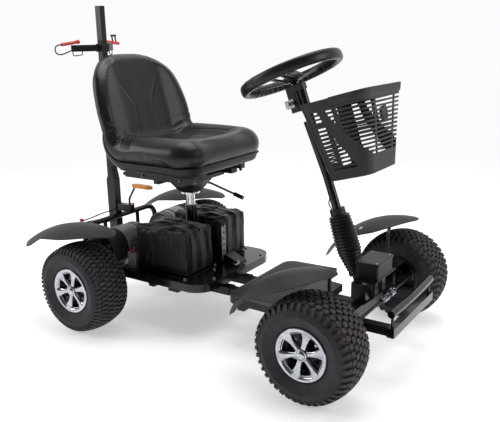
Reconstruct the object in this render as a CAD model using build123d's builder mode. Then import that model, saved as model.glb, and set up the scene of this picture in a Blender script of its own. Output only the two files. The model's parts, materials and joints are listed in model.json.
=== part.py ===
from build123d import *
from math import atan2, cos, degrees, hypot, pi, radians, sin, sqrt, tan
import os

# Single-seat golf buggy, in millimetres.
# +X points forward, +Y to the rider's left and +Z up.
# The origin is on the ground, under the middle of the overall length and on the centre plane.

# Wheels and track
wheelbase = 950.0
rear_axle_x = -395.0
front_axle_x = rear_axle_x + wheelbase
half_track = 365.0
tyre_radius = 165.0
tyre_width = 158.0
bead_radius = 77.0
rim_radius = 84.0
rim_width = 124.0
rim_wall = 3.5
axle_radius = 10.0
running_fit = 0.05
hub_radius = 24.0
hub_inner = 45.0
hub_outer = 34.0
cover_thickness = 6.0
spoke_count = 6

# Frame
rail_y = 62.0
rail_width = 40.0
rail_height = 30.0
rail_top = tyre_radius - 15.0
rail_wall = 3.0
rail_fit = 0.2
rear_rail_back = rear_axle_x - 150.0
rear_rail_front = rear_axle_x + 456.0
front_rail_back = rear_axle_x + 400.0

# Deck and footboard
deck_back = rear_axle_x + 62.0
deck_front = deck_back + 394.0
deck_half_width = 236.0
deck_top = rail_top + 52.0
deck_skirt = 30.0
deck_wall = 3.0
deck_front_radius = 78.0
deck_back_radius = 25.0
board_back = rear_axle_x + 534.0
board_front = front_axle_x - 205.0
board_back_half = 214.0
board_front_half = 222.0
board_top = rail_top + 36.0
board_skirt = 26.0
board_wall = 3.0
tongue_half = 95.0
tongue_front = front_axle_x - 115.0

# Steering column: its lean and the point where its axis meets the top
column_lean = 19.2
column_top = Vector(front_axle_x - 244.8, 0, 896.0)
column_radius = 15.0
column_up = Vector(-sin(radians(column_lean)), 0, cos(radians(column_lean)))
column_ahead = Vector(cos(radians(column_lean)), 0, sin(radians(column_lean)))
tube_top_along = -26.0
column_length = 716.0
column_foot = column_top - column_up * column_length
wheel_lean = 23.8
steering_centre = Vector(front_axle_x - 276.0, 0, 923.0)
steering_up = Vector(-sin(radians(wheel_lean)), 0, cos(radians(wheel_lean)))
steering_rim_radius = 164.0
steering_grip_radius = 14.0
steering_shaft_radius = 9.0

# Seat
pedestal_x = rear_axle_x + 228.0
post_radius = 22.0
collar_radius = 16.0
collar_bottom = deck_top + 221.0
collar_top = collar_bottom + 46.0
seat_pan_bottom = collar_top + 123.0

# Bag post
bag_post_x = rear_axle_x - 188.0
bag_post_size = 26.0
bag_post_top = 1170.0
post_foot_bottom = rail_top

# Control box
box_back = front_axle_x - 2.0
box_front = front_axle_x + 76.0
box_half = 63.0
box_bottom = tyre_radius + 117.0
box_top = box_bottom + 55.0

# Kingpins
kingpin_y = half_track - 100.0
kingpin_radius = 8.0
yoke_reach = 45.0
beam_half = 20.0

SIDES = (("left", 1), ("right", -1))
AXLES = (("front", front_axle_x), ("rear", rear_axle_x))


def block(x_range, y_range, z_range, mode=Mode.ADD):
    """Adds a box between pairs of limits to the part being built."""
    centre = [(low + high) / 2 for low, high in (x_range, y_range, z_range)]
    size = [high - low for low, high in (x_range, y_range, z_range)]
    with Locations(tuple(centre)):
        Box(*size, mode=mode)


def mirrored(y_range, side):
    """Limits across the buggy, given for the left side, for either side."""
    return tuple(sorted(side * y for y in y_range))


def bent_rod(points, bend_radius, rod_radius):
    """Adds a round rod along straight runs with filleted corners."""
    with BuildLine() as path:
        FilletPolyline(*points, radius=bend_radius)
    with BuildSketch(Plane(path.line @ 0, z_dir=path.line % 0)) as disc:
        Circle(rod_radius)
    sweep(disc.sketch, path=path.line)


def straight_rod(start, end, rod_radius, mode=Mode.ADD):
    """Adds a round bar from one point to another."""
    start = Vector(*start)
    run = Vector(*end) - start
    with BuildSketch(Plane(start, z_dir=run)) as disc:
        Circle(rod_radius)
    extrude(disc.sketch, amount=run.length, mode=mode)


def save(builder, name):
    """Labels a finished piece and writes it."""
    builder.part.label = name
    export_step(builder.part, f"parts/{name}.step")


def wheel_plane(axle_x, side, outboard=0.0):
    """Plane across the wheel's axis, facing outboard, at a distance from the tyre's middle."""
    return Plane((axle_x, side * (half_track + outboard), tyre_radius), x_dir=(1, 0, 0), z_dir=(0, side, 0))


os.makedirs("parts", exist_ok=True)

# Tyres: a bulged turf tyre, as a ring revolved about the axle
half_width = tyre_width / 2
sidewall_radius = 122.0
tread_half = 62.0
shoulder_drop = 9.0
for axle_name, axle_x in AXLES:
    for side_name, side in SIDES:
        with BuildPart() as tyre:
            plane = Plane((axle_x, side * half_track, tyre_radius), x_dir=(0, 1, 0), z_dir=(-1, 0, 0))
            with BuildSketch(plane):
                with BuildLine():
                    bead = rim_width / 2 - rim_wall - running_fit
                    lip = (rim_width / 2, rim_radius + running_fit)
                    tread_edge = (tread_half, tyre_radius - shoulder_drop)
                    Polyline((-lip[0], lip[1]), (-bead, lip[1]), (-bead, bead_radius), (bead, bead_radius), (bead, lip[1]), lip)
                    ThreePointArc(lip, (half_width, sidewall_radius), tread_edge)
                    ThreePointArc(tread_edge, (0, tyre_radius), (-tread_half, tyre_radius - shoulder_drop))
                    ThreePointArc((-tread_half, tyre_radius - shoulder_drop), (-half_width, sidewall_radius), (-lip[0], lip[1]))
                make_face()
            revolve(axis=Axis((axle_x, 0, tyre_radius), (0, 1, 0)))
        save(tyre, f"tyre_{axle_name}_{side_name}")

# Rims: a pressed barrel with flanges, a disc near the outboard side and a hub on the axle
disc_outboard = 22.0
disc_thickness = 5.0
for axle_name, axle_x in AXLES:
    for side_name, side in SIDES:
        with BuildPart() as rim:
            half = rim_width / 2
            with BuildSketch(wheel_plane(axle_x, side, -half)):
                Circle(bead_radius - running_fit)
                Circle(bead_radius - rim_wall, mode=Mode.SUBTRACT)
            extrude(amount=rim_width)
            for start in (-half, half - rim_wall):
                with BuildSketch(wheel_plane(axle_x, side, start)):
                    Circle(rim_radius)
                    Circle(bead_radius - rim_wall, mode=Mode.SUBTRACT)
                extrude(amount=rim_wall)
            with BuildSketch(wheel_plane(axle_x, side, disc_outboard)):
                Circle(bead_radius - rim_wall)
            extrude(amount=disc_thickness)
            with BuildSketch(wheel_plane(axle_x, side, -hub_inner)):
                Circle(hub_radius)
            extrude(amount=hub_inner + hub_outer)
            with BuildSketch(wheel_plane(axle_x, side, -hub_inner)):
                Circle(axle_radius + running_fit)
            extrude(amount=hub_inner + hub_outer, mode=Mode.SUBTRACT)
        save(rim, f"rim_{axle_name}_{side_name}")

# Wheel covers: a ring with six spokes that widen outward and a round cap, seated on the rim flange
cover_ring_inner = 67.0
cover_hub_radius = 19.0
window_inner = 26.0
window_angle = 360 / spoke_count
for axle_name, axle_x in AXLES:
    for side_name, side in SIDES:
        with BuildPart() as cover:
            with BuildSketch(wheel_plane(axle_x, side, rim_width / 2)):
                Circle(rim_radius - 1)
                with PolarLocations(0, spoke_count):
                    with BuildSketch(mode=Mode.PRIVATE) as window:
                        with BuildLine():
                            near = 4.0
                            far = sin(radians(window_angle / 2)) * cover_ring_inner - 11.0
                            Polyline((window_inner, near), (cover_ring_inner - 3, far), (cover_ring_inner - 3, -far), (window_inner, -near), close=True)
                        make_face()
                        fillet(window.vertices(), 3.0)
                    add(window.sketch, mode=Mode.SUBTRACT)
            extrude(amount=cover_thickness)
            with BuildSketch(wheel_plane(axle_x, side, hub_outer)):
                Circle(cover_hub_radius)
            extrude(amount=rim_width / 2 - hub_outer + cover_thickness + 4)
        save(cover, f"wheel_cover_{axle_name}_{side_name}")

# Rear axle: a tube between the drive units and a stub shaft in each wheel
case_outer = 272.0
case_inner = 238.0
axle_tube_radius = 15.0
stub_end = half_track + hub_outer
with BuildPart() as rear_axle:
    straight_rod((rear_axle_x, -case_inner, tyre_radius), (rear_axle_x, case_inner, tyre_radius), axle_tube_radius)
    for side_name, side in SIDES:
        straight_rod((rear_axle_x, side * case_outer, tyre_radius), (rear_axle_x, side * stub_end, tyre_radius), axle_radius)
save(rear_axle, "rear_axle")

# Drive units: a gear case on the axle with a motor above it, in toward the middle
motor_z = tyre_radius + 107.0
motor_radius = 70.0
case_low_radius = 46.0
motor_inner = 130.0
ring_inner = 72.0
ring_radius = 66.0
for side_name, side in SIDES:
    with BuildPart() as drive:
        with BuildSketch(Plane((rear_axle_x, side * case_inner, 0), x_dir=(1, 0, 0), z_dir=(0, side, 0))) as case:
            up = -side
            with Locations((0, up * tyre_radius)):
                Circle(case_low_radius)
            with Locations((0, up * motor_z)):
                Circle(motor_radius)
            make_hull()
        extrude(amount=case_outer - case_inner)
        straight_rod((rear_axle_x, side * motor_inner, motor_z), (rear_axle_x, side * case_inner, motor_z), motor_radius)
        straight_rod((rear_axle_x, side * ring_inner, motor_z), (rear_axle_x, side * motor_inner, motor_z), ring_radius)
    save(drive, f"drive_unit_{side_name}")

# Rear frame: two square-section rails open at the front, cross members and a motor cradle
rail_bottom = rail_top - rail_height
cross_top = deck_top - deck_wall
DECK_CROSS = (
    # middle, length along the buggy
    (rear_axle_x + 210.0, 26.0),
    (rear_axle_x + 313.0, 44.0),
)
cross_drop = 41.0
rear_cross_x = rear_axle_x - 130.0
cradle_half = 30.0
with BuildPart() as rear_frame:
    for side_name, side in SIDES:
        rail = (rail_y - rail_width / 2, rail_y + rail_width / 2)
        block((rear_rail_back, rear_rail_front), mirrored(rail, side), (rail_bottom, rail_top))
    for cross_x, size in DECK_CROSS:
        reach = deck_half_width - deck_wall - 3
        block((cross_x - size / 2, cross_x + size / 2), (-reach, reach), (cross_top - cross_drop, cross_top))
        block((cross_x - size / 2, cross_x + size / 2), (-rail_y, rail_y), (rail_bottom + 1, cross_top))
    block((rear_cross_x - 20, rear_cross_x + 20), (-225, 225), (rail_bottom, rail_top))
    for side_name, side in SIDES:
        cradle_y = mirrored((ring_inner + 16, ring_inner + 24), side)
        block((rear_axle_x - cradle_half, rear_axle_x + cradle_half), cradle_y, (rail_top, motor_z - ring_radius + 10))
    for side_name, side in SIDES:
        straight_rod((rear_axle_x, side * ring_inner, motor_z), (rear_axle_x, side * motor_inner, motor_z), ring_radius + 0.3, mode=Mode.SUBTRACT)
    straight_rod((rear_axle_x, -case_inner, tyre_radius), (rear_axle_x, case_inner, tyre_radius), axle_tube_radius + 0.3, mode=Mode.SUBTRACT)
    for side_name, side in SIDES:
        bore = (rail_y - rail_width / 2 + rail_wall, rail_y + rail_width / 2 - rail_wall)
        block((front_rail_back - 20, rear_rail_front + 1), mirrored(bore, side), (rail_bottom + rail_wall, rail_top - rail_wall), mode=Mode.SUBTRACT)
save(rear_frame, "rear_frame")

# Front frame: rails that slide into the rear ones, a cross member under the board and side channels
bumper_x = front_axle_x + 168.0
bumper_half = 178.0
side_channel_y = bumper_half - 20.0
front_rail_end = front_axle_x - 20.0
channel_top = rail_top + 36.0
channel_bottom = channel_top - 28.0
with BuildPart() as front_frame:
    for side_name, side in SIDES:
        tongue = (rail_y - rail_width / 2 + rail_wall + rail_fit, rail_y + rail_width / 2 - rail_wall - rail_fit)
        block((front_rail_back, front_rail_end), mirrored(tongue, side), (rail_bottom + rail_wall + rail_fit, rail_top - rail_wall - rail_fit))
    for cross_x in (board_back + 40, board_front - 60):
        block((cross_x - 14, cross_x + 14), (-180, 180), (rail_bottom + rail_wall + rail_fit, board_top - board_wall))
    for side_name, side in SIDES:
        channel = mirrored((side_channel_y - 15, side_channel_y + 15), side)
        block((front_axle_x + beam_half + 4, bumper_x - 12), channel, (channel_bottom, channel_top))
save(front_frame, "front_frame")

# Deck: a tray turned over, with a rounded outline and a down-turned skirt
def deck_outline(inset=0.0):
    """Plan of the rear deck, drawn in the sketch being built."""
    length = deck_front - deck_back
    with Locations(((deck_front + deck_back) / 2, 0)):
        Rectangle(length - 2 * inset, 2 * (deck_half_width - inset))


with BuildPart() as deck:
    with BuildSketch(Plane.XY.offset(deck_top - deck_skirt)) as outline:
        deck_outline()
        front = outline.vertices().group_by(Axis.X)[-1]
        fillet(front, deck_front_radius)
        back = outline.vertices().group_by(Axis.X)[0]
        fillet(back, deck_back_radius)
    extrude(amount=deck_skirt)
    under = deck.faces().sort_by(Axis.Z)[0]
    offset(amount=-deck_wall, openings=under)
save(deck, "deck_tray")

# Footboard: a plate that widens forward, with a narrow tongue toward the column and a skirt
board_points = (
    (board_back, -board_back_half),
    (board_front, -board_front_half),
    (board_front + 12, -tongue_half),
    (tongue_front, -tongue_half + 12),
    (tongue_front, tongue_half - 12),
    (board_front + 12, tongue_half),
    (board_front, board_front_half),
    (board_back, board_back_half),
)
with BuildPart() as footboard:
    with BuildSketch(Plane.XY.offset(board_top - board_skirt)) as outline:
        with BuildLine():
            Polyline(*board_points, close=True)
        make_face()
        back = outline.vertices().group_by(Axis.X)[0]
        fillet(back, 45)
    extrude(amount=board_skirt)
    under = footboard.faces().sort_by(Axis.Z)[0]
    offset(amount=-board_wall, openings=under)
save(footboard, "footboard")

# Front axle: a square beam with a yoke at each end that holds the kingpin
yoke_gap = 34.0
yoke_plate = 8.0
yoke_half = 20.0
beam_end = kingpin_y - yoke_reach
foot_half = 27.0
shelf_half = 86.0
shelf_thickness = 4.0
with BuildPart() as front_axle:
    block((front_axle_x - beam_half, front_axle_x + beam_half), (-beam_end, beam_end), (tyre_radius - beam_half, tyre_radius + beam_half))
    for side_name, side in SIDES:
        block((front_axle_x - yoke_half, front_axle_x + yoke_half), mirrored((beam_end - 8, beam_end), side),
              (tyre_radius - yoke_gap - yoke_plate, tyre_radius + yoke_gap + yoke_plate))
        for level in (-yoke_gap - yoke_plate, yoke_gap):
            with BuildSketch(Plane.XY.offset(tyre_radius + level)):
                with Locations((front_axle_x, side * (beam_end + kingpin_y) / 2)):
                    Rectangle(2 * yoke_half, kingpin_y - beam_end)
                with Locations((front_axle_x, side * kingpin_y)):
                    Circle(yoke_half)
                    Circle(kingpin_radius + running_fit, mode=Mode.SUBTRACT)
            extrude(amount=yoke_plate)
    for side_name, side in SIDES:
        block((front_axle_x - beam_half - 4, front_axle_x + beam_half + 4), mirrored((side_channel_y - 18, side_channel_y + 18), side),
              (tyre_radius - beam_half, tyre_radius + beam_half + 3))
    block((front_axle_x - 32, front_axle_x + 20), (-foot_half, foot_half), (tyre_radius + beam_half, column_foot.Z + 26))
    straight_rod(column_foot, column_top, column_radius + running_fit, mode=Mode.SUBTRACT)
    block((front_axle_x + 4, box_front + 2), (-shelf_half, shelf_half), (box_bottom - shelf_thickness, box_bottom))
    for side_name, side in SIDES:
        block((box_front - 22, box_front - 17), mirrored((16, 44), side), (tyre_radius + beam_half + 30, box_bottom - shelf_thickness))
        with BuildSketch(Plane.XZ.offset(-side * 30 - 14)):
            with BuildLine():
                Polyline((front_axle_x + beam_half - 4, tyre_radius + beam_half), (front_axle_x + beam_half - 4, tyre_radius + beam_half - 8),
                         (box_front - 17, tyre_radius + beam_half + 30), (box_front - 17, tyre_radius + beam_half + 40), close=True)
            make_face()
        extrude(amount=28)
save(front_axle, "front_axle")

# Knuckles: an upright boss with its kingpin, a stub axle and a steering arm that points ahead
boss_radius = 15.0
arm_reach = 72.0
arm_thickness = 8.0
arm_z = tyre_radius + 22.0
pin_over = 6.0
for side_name, side in SIDES:
    pin_x, pin_y = front_axle_x, side * kingpin_y
    with BuildPart() as knuckle:
        gap = yoke_gap - 1.0
        straight_rod((pin_x, pin_y, tyre_radius - gap), (pin_x, pin_y, tyre_radius + gap), boss_radius)
        straight_rod((pin_x, pin_y, tyre_radius - yoke_gap - yoke_plate - pin_over),
                     (pin_x, pin_y, tyre_radius + yoke_gap + yoke_plate + pin_over), kingpin_radius)
        straight_rod((pin_x, pin_y, tyre_radius), (pin_x, side * (half_track - hub_inner - 5), tyre_radius), axle_radius + 4)
        straight_rod((pin_x, pin_y, tyre_radius), (pin_x, side * stub_end, tyre_radius), axle_radius)
        with BuildSketch(Plane.XY.offset(arm_z - arm_thickness / 2)):
            with Locations((pin_x + arm_reach / 2, pin_y)):
                Rectangle(arm_reach, 18)
            with Locations((pin_x + arm_reach, pin_y)):
                Circle(11)
        extrude(amount=arm_thickness)
    save(knuckle, f"knuckle_{side_name}")

# Tie rod: a bar between the steering arms with a rod end lying on each arm
rod_end_z = arm_z + arm_thickness / 2 + 0.3
rod_end_height = 12.0
tie_radius = 6.0
with BuildPart() as tie_rod:
    tie_x = front_axle_x + arm_reach
    straight_rod((tie_x, -kingpin_y, rod_end_z + rod_end_height / 2), (tie_x, kingpin_y, rod_end_z + rod_end_height / 2), tie_radius - 1)
    straight_rod((tie_x, 6, rod_end_z + rod_end_height / 2), (tie_x, 46, rod_end_z + rod_end_height / 2), 8.5)
    for side_name, side in SIDES:
        straight_rod((tie_x, side * kingpin_y, rod_end_z), (tie_x, side * kingpin_y, rod_end_z + rod_end_height), 9)
save(tie_rod, "tie_rod")

# Bumper: a bowed round tube over a flat rail, joined by two uprights
bumper_tube_z = tyre_radius + 67.0
bumper_tube_radius = 12.0
bumper_bow = 5.0
bumper_rail_z = tyre_radius + 6.0
with BuildPart() as bumper:
    with BuildLine() as bow:
        ThreePointArc((bumper_x, -bumper_half, bumper_tube_z), (bumper_x + bumper_bow, 0, bumper_tube_z), (bumper_x, bumper_half, bumper_tube_z))
    with BuildSketch(Plane(bow.line @ 0, z_dir=bow.line % 0)):
        Circle(bumper_tube_radius)
    sweep(path=bow.line)
    block((bumper_x - 12, bumper_x + 12), (-bumper_half, bumper_half), (bumper_rail_z - 15, bumper_rail_z + 15))
    for side_name, side in SIDES:
        straight_rod((bumper_x, side * (bumper_half - 14), bumper_rail_z), (bumper_x, side * (bumper_half - 14), bumper_tube_z), 4.5)
save(bumper, "bumper")

# Control box on a bracket ahead of the column
with BuildPart() as control_box:
    block((box_back, box_front), (-box_half, box_half), (box_bottom, box_top))
    fillet(control_box.edges().filter_by(Axis.Z), 6)
save(control_box, "control_box")

# Fenders: crowned leaves turned about an axis across the buggy and trimmed to a leaf plan
fender_thickness = 3.0
fender_y = 335.0
fender_half = 100.0
crown_radius = 150.0
FENDERS = {
    # place: (rear tip x, rear tip z), (crown x, crown z), (front tip x, front tip z)
    "rear": ((rear_axle_x - 340.0, tyre_radius + 91.0), (rear_axle_x - 60.0, tyre_radius + 223.0),
             (rear_axle_x + 140.0, tyre_radius + 203.0)),
    "front": ((front_axle_x - 306.0, tyre_radius + 25.0), (front_axle_x - 150.0, tyre_radius + 187.0),
              (front_axle_x + 62.0, tyre_radius + 224.0)),
}

# Fender stays: a rod bent up from the gear case or the yoke to the underside of each fender
stay_radius = 6.0
stay_bend = 9.0
stay_y = 300.0
STAYS = {
    # place: foot x, foot y, foot z, height of the level run, end x
    "rear": (rear_axle_x, 255.0, motor_z + motor_radius + 0.2, motor_z + 89.0, rear_axle_x - 8.0),
    "front": (front_axle_x - 10.0, 232.0, tyre_radius + 42.2, tyre_radius + 189.0, front_axle_x - 32.0),
}


def circle_through(a, b, c):
    """Centre and radius of the circle through three points of the side view."""
    (ax, az), (bx, bz), (cx, cz) = a, b, c
    d = 2 * (ax * (bz - cz) + bx * (cz - az) + cx * (az - bz))
    a2, b2, c2 = ax * ax + az * az, bx * bx + bz * bz, cx * cx + cz * cz
    x = (a2 * (bz - cz) + b2 * (cz - az) + c2 * (az - bz)) / d
    z = (a2 * (cx - bx) + b2 * (ax - cx) + c2 * (bx - ax)) / d
    return x, z, hypot(ax - x, az - z)


for place, (rear_tip, crown, front_tip) in FENDERS.items():
    centre_x, centre_z, sweep_radius = circle_through(rear_tip, crown, front_tip)
    foot_x, foot_y, foot_z, level, end_x = STAYS[place]
    for side_name, side in SIDES:
        with BuildPart() as fender:
            start = degrees(atan2(front_tip[1] - centre_z, front_tip[0] - centre_x))
            end = degrees(atan2(rear_tip[1] - centre_z, rear_tip[0] - centre_x))
            first = Plane((centre_x, 0, centre_z), x_dir=(cos(radians(start)), 0, sin(radians(start))), z_dir=(sin(radians(start)), 0, -cos(radians(start))))
            with BuildSketch(first):
                top = sweep_radius
                edge = sweep_radius - (crown_radius - sqrt(crown_radius ** 2 - fender_half ** 2))
                across = first.to_local_coords(Vector(centre_x, side * fender_y, centre_z)).Y
                step = fender_half
                with BuildLine():
                    ThreePointArc((edge, across - step), (top, across), (edge, across + step))
                    Line((edge, across + step), (edge - fender_thickness, across + step))
                    ThreePointArc((edge - fender_thickness, across + step), (top - fender_thickness, across), (edge - fender_thickness, across - step))
                    Line((edge - fender_thickness, across - step), (edge, across - step))
                make_face()
            revolve(axis=Axis((centre_x, 0, centre_z), (0, -1, 0)), revolution_arc=end - start)
            with BuildSketch(Plane.XY):
                with BuildLine():
                    widest = rear_tip[0] + 0.62 * (front_tip[0] - rear_tip[0])
                    y0 = side * fender_y
                    ThreePointArc((rear_tip[0], y0 - 10), ((rear_tip[0] + widest) / 2, y0 - 0.78 * fender_half), (widest, y0 - 0.97 * fender_half))
                    ThreePointArc((widest, y0 - 0.97 * fender_half), ((front_tip[0] + widest) / 2 + 8, y0 - 0.72 * fender_half), (front_tip[0], y0 - 12))
                    Line((front_tip[0], y0 - 12), (front_tip[0], y0 + 12))
                    ThreePointArc((front_tip[0], y0 + 12), ((front_tip[0] + widest) / 2 + 8, y0 + 0.72 * fender_half), (widest, y0 + 0.97 * fender_half))
                    ThreePointArc((widest, y0 + 0.97 * fender_half), ((rear_tip[0] + widest) / 2, y0 + 0.78 * fender_half), (rear_tip[0], y0 + 10))
                    Line((rear_tip[0], y0 + 10), (rear_tip[0], y0 - 10))
                make_face()
            extrude(amount=600, mode=Mode.INTERSECT)
            sag = crown_radius - sqrt(crown_radius ** 2 - (fender_y - stay_y) ** 2)
            end_z = centre_z + sqrt((sweep_radius - sag) ** 2 - (end_x - centre_x) ** 2) - fender_thickness / 2
            bent_rod(((foot_x, side * foot_y, foot_z), (foot_x, side * foot_y, level),
                      (end_x, side * stay_y, level), (end_x, side * stay_y, end_z)), stay_bend, stay_radius)
        save(fender, f"fender_{place}_{side_name}")

# Rear hoop: a bent tube across the back with two struts
hoop_x = rear_axle_x - 150.0
hoop_half = 205.0
hoop_top = rail_top + 180.0
hoop_radius = 11.0
strut_y = 95.0
with BuildPart() as rear_hoop:
    bent_rod(((hoop_x, -hoop_half, rail_top), (hoop_x, -hoop_half, hoop_top), (hoop_x, hoop_half, hoop_top), (hoop_x, hoop_half, rail_top)), 50, hoop_radius)
    for side_name, side in SIDES:
        straight_rod((hoop_x, side * strut_y, rail_top), (hoop_x, side * strut_y, hoop_top), 8)
save(rear_hoop, "rear_hoop")

# Bag post: an upright square tube, with a foot and a lower sleeve that holds it
sleeve_wall = 4.0
sleeve_top = rail_top + 385.0
half_post = bag_post_size / 2
foot_front = rear_axle_x - 168.5
with BuildPart() as bag_post:
    block((bag_post_x - half_post, bag_post_x + half_post), (-half_post, half_post), (post_foot_bottom, bag_post_top))
save(bag_post, "bag_post")

with BuildPart() as post_sleeve:
    with BuildSketch(Plane.XZ.offset(-half_post - sleeve_wall)) as side_view:
        with BuildLine():
            Polyline(
                (bag_post_x - half_post - sleeve_wall, rail_top),
                (bag_post_x - half_post - sleeve_wall, sleeve_top - 55),
                (bag_post_x + half_post, sleeve_top),
                (foot_front + 6, sleeve_top - 55),
                (foot_front + 6, rail_top),
                close=True,
            )
        make_face()
    extrude(amount=2 * (half_post + sleeve_wall))
    block((foot_front, rear_axle_x - 84), (-12, 12), (hoop_top + 22, hoop_top + 50))
    block((rear_rail_back - 45, rear_rail_back), (-rail_y - rail_width / 2, rail_y + rail_width / 2), (rail_bottom, rail_top))
    block((bag_post_x - half_post - running_fit, bag_post_x + half_post + running_fit), (-half_post - running_fit, half_post + running_fit), (post_foot_bottom, sleeve_top + 65), mode=Mode.SUBTRACT)
save(post_sleeve, "post_sleeve")

# Upper cradle: a clamp on the post and two arms that spread back, with coral grips on their ends
cradle_z = bag_post_top - 158.9
arm_height = 25.0
arm_thick = 8.0
arm_end_x = bag_post_x - 58.0
arm_end_y = 110.0
bail_radius = 1.8
arm_start = Vector(bag_post_x - 8, half_post + 4, cradle_z)
arm_run = Vector(arm_end_x, arm_end_y, cradle_z) - arm_start
with BuildPart() as upper_cradle:
    block((bag_post_x - half_post - 5, bag_post_x + half_post + 5), (-half_post - 5, half_post + 5), (cradle_z - 16, cradle_z + 16))
    block((bag_post_x - half_post, bag_post_x + half_post), (-half_post, half_post), (cradle_z - 17, cradle_z + 17), mode=Mode.SUBTRACT)
    for side_name, side in SIDES:
        start = Vector(arm_start.X, side * arm_start.Y, cradle_z)
        run = Vector(arm_run.X, side * arm_run.Y, 0)
        with BuildSketch(Plane(start, x_dir=(0, 0, 1), z_dir=run)):
            Rectangle(arm_height, arm_thick)
        extrude(amount=run.length)
        high = Vector(0, 0, 1 - arm_height / 2)
        low = high - Vector(0, 0, 17)
        bail_end, bail_start = start + run * 0.95, start + run * 0.6
        bent_rod((bail_end + high, bail_end + low, bail_start + low + Vector(0, 0, 3), bail_start + high), 5, bail_radius)
save(upper_cradle, "upper_cradle")

lower_z = hoop_top - 20.0
lower_arm_height = 20.0
hook_x = bag_post_x - 40.0
hook_y = 150.0
with BuildPart() as lower_cradle:
    for side_name, side in SIDES:
        start = Vector(bag_post_x - 4, side * (half_post + sleeve_wall + 1), lower_z)
        run = Vector(hook_x, side * hook_y, lower_z) - start
        with BuildSketch(Plane(start, x_dir=(0, 0, 1), z_dir=run)):
            Rectangle(lower_arm_height, arm_thick)
        extrude(amount=run.length)
        straight_rod((hook_x, side * hook_y, lower_z - lower_arm_height / 2), (hook_x, side * hook_y, lower_z + lower_arm_height / 2), 8)
save(lower_cradle, "lower_cradle")

# Coral grips that lie over the upper arms' ends, and coral caps on the lower ones
grip_radius = 6.5
grip_inner = Vector(arm_end_x - 4, 74.0, cradle_z + arm_height / 2 + 11.4)
grip_outer = Vector(arm_end_x - 4, 153.0, cradle_z + arm_height / 2 + 2.3)
cap_height = 16.0
with BuildPart() as grips:
    for side_name, side in SIDES:
        inner = Vector(grip_inner.X, side * grip_inner.Y, grip_inner.Z)
        outer = Vector(grip_outer.X, side * grip_outer.Y, grip_outer.Z)
        straight_rod(inner, outer, grip_radius)
        straight_rod(inner, inner + (inner - outer).normalized() * 8, grip_radius + 1.5)
        cap_foot = Vector(hook_x, side * hook_y, lower_z + lower_arm_height / 2 + 0.3)
        straight_rod(cap_foot, cap_foot + Vector(0, 0, cap_height), 8)
save(grips, "cradle_grips")

# Freewheel lever: a bent stalk with a flat paddle, standing ahead of the bag post
paddle_z = hoop_top + 134.0
paddle_back = rear_axle_x - 79.0
paddle_front = rear_axle_x + 34.0
with BuildPart() as freewheel_lever:
    bent_rod(((rear_axle_x - 98, 0, hoop_top + 50), (rear_axle_x - 98, 0, hoop_top + 75), (rear_axle_x - 62, 0, paddle_z - 5)), 20, 4)
    with BuildSketch(Plane.XY.offset(paddle_z - 6)):
        with BuildLine():
            Polyline((paddle_back, 0), (paddle_back + 16, -13), (paddle_front - 22, -15), (paddle_front, 0),
                     (paddle_front - 22, 15), (paddle_back + 16, 13), close=True)
        make_face()
    extrude(amount=12)
save(freewheel_lever, "freewheel_lever")

# Batteries: a nylon bag open for its battery, with a plain block inside each
bag_back = deck_back + 38.0
bag_front = deck_back + 283.0
BAGS = (
    # side, right limit, left limit
    ("left", 38.0, 202.0),
    ("right", -186.0, -26.0),
)
bag_top = deck_top + 173.0
bag_wall = 3.0
for side_name, right, left in BAGS:
    with BuildPart() as bag:
        block((bag_back, bag_front), (right, left), (deck_top + 0.3, bag_top))
        fillet(bag.edges().filter_by(Axis.Z), 14)
        fillet(bag.faces().sort_by(Axis.Z)[-1].edges(), 10)
        block((bag_back + bag_wall, bag_front - bag_wall), (right + bag_wall, left - bag_wall),
              (deck_top + 0.3 + bag_wall, bag_top - 12), mode=Mode.SUBTRACT)
    save(bag, f"battery_bag_{side_name}")

with BuildPart() as batteries:
    for side_name, right, left in BAGS:
        block((bag_back + 6, bag_front - 6), (right + 6, left - 6), (deck_top + 0.6 + bag_wall, bag_top - 16))
save(batteries, "batteries")

# Power plug: two connector blocks on the deck behind the right bag
plug_x = deck_back + 23.0
plug_y = -200.0
plug_top = deck_top + 62.0
with BuildPart() as power_plug:
    block((plug_x - 8, plug_x + 23), (plug_y - 9, plug_y + 9), (deck_top + 0.2, deck_top + 5))
    block((plug_x - 7, plug_x + 7), (plug_y - 8, plug_y + 8), (deck_top + 0.2, plug_top))
    block((plug_x + 11, plug_x + 21), (plug_y - 6, plug_y + 6), (deck_top + 0.2, plug_top - 2))
save(power_plug, "power_plug")

# Battery strap: a perforated steel upright between the bags
strap_x = bag_front + 8.0
strap_y = 34.0
with BuildPart() as strap:
    block((strap_x - 1.5, strap_x + 1.5), (strap_y - 12, strap_y + 12), (deck_top, deck_top + 143))
    with BuildSketch(Plane.YZ.offset(strap_x - 3)):
        with Locations(*[(strap_y, deck_top + 20 + 24 * row) for row in range(6)]):
            Circle(5)
    extrude(amount=6, mode=Mode.SUBTRACT)
save(strap, "battery_strap")

# Latch plate at the deck's front edge, with its ring pin
latch_x = deck_front - 62.0
latch_y = (20.0, 72.0)
with BuildPart() as latch:
    with BuildSketch(Plane.XZ.offset(-latch_y[1])):
        with BuildLine():
            Polyline((latch_x - 40, deck_top), (latch_x - 25, deck_top + 34), (latch_x + 35, deck_top + 10), (latch_x + 40, deck_top), close=True)
        make_face()
    extrude(amount=latch_y[1] - latch_y[0])
save(latch, "latch_plate")

# Seat post: the black column on the deck and the chrome collar that turns on it
with BuildPart() as seat_post:
    straight_rod((pedestal_x, 0, deck_top), (pedestal_x, 0, deck_top + 8), 24)
    straight_rod((pedestal_x, 0, deck_top), (pedestal_x, 0, collar_bottom), post_radius)
    straight_rod((pedestal_x, 0, collar_bottom), (pedestal_x, 0, collar_top + 30), collar_radius - 6)
save(seat_post, "seat_post")

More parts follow.
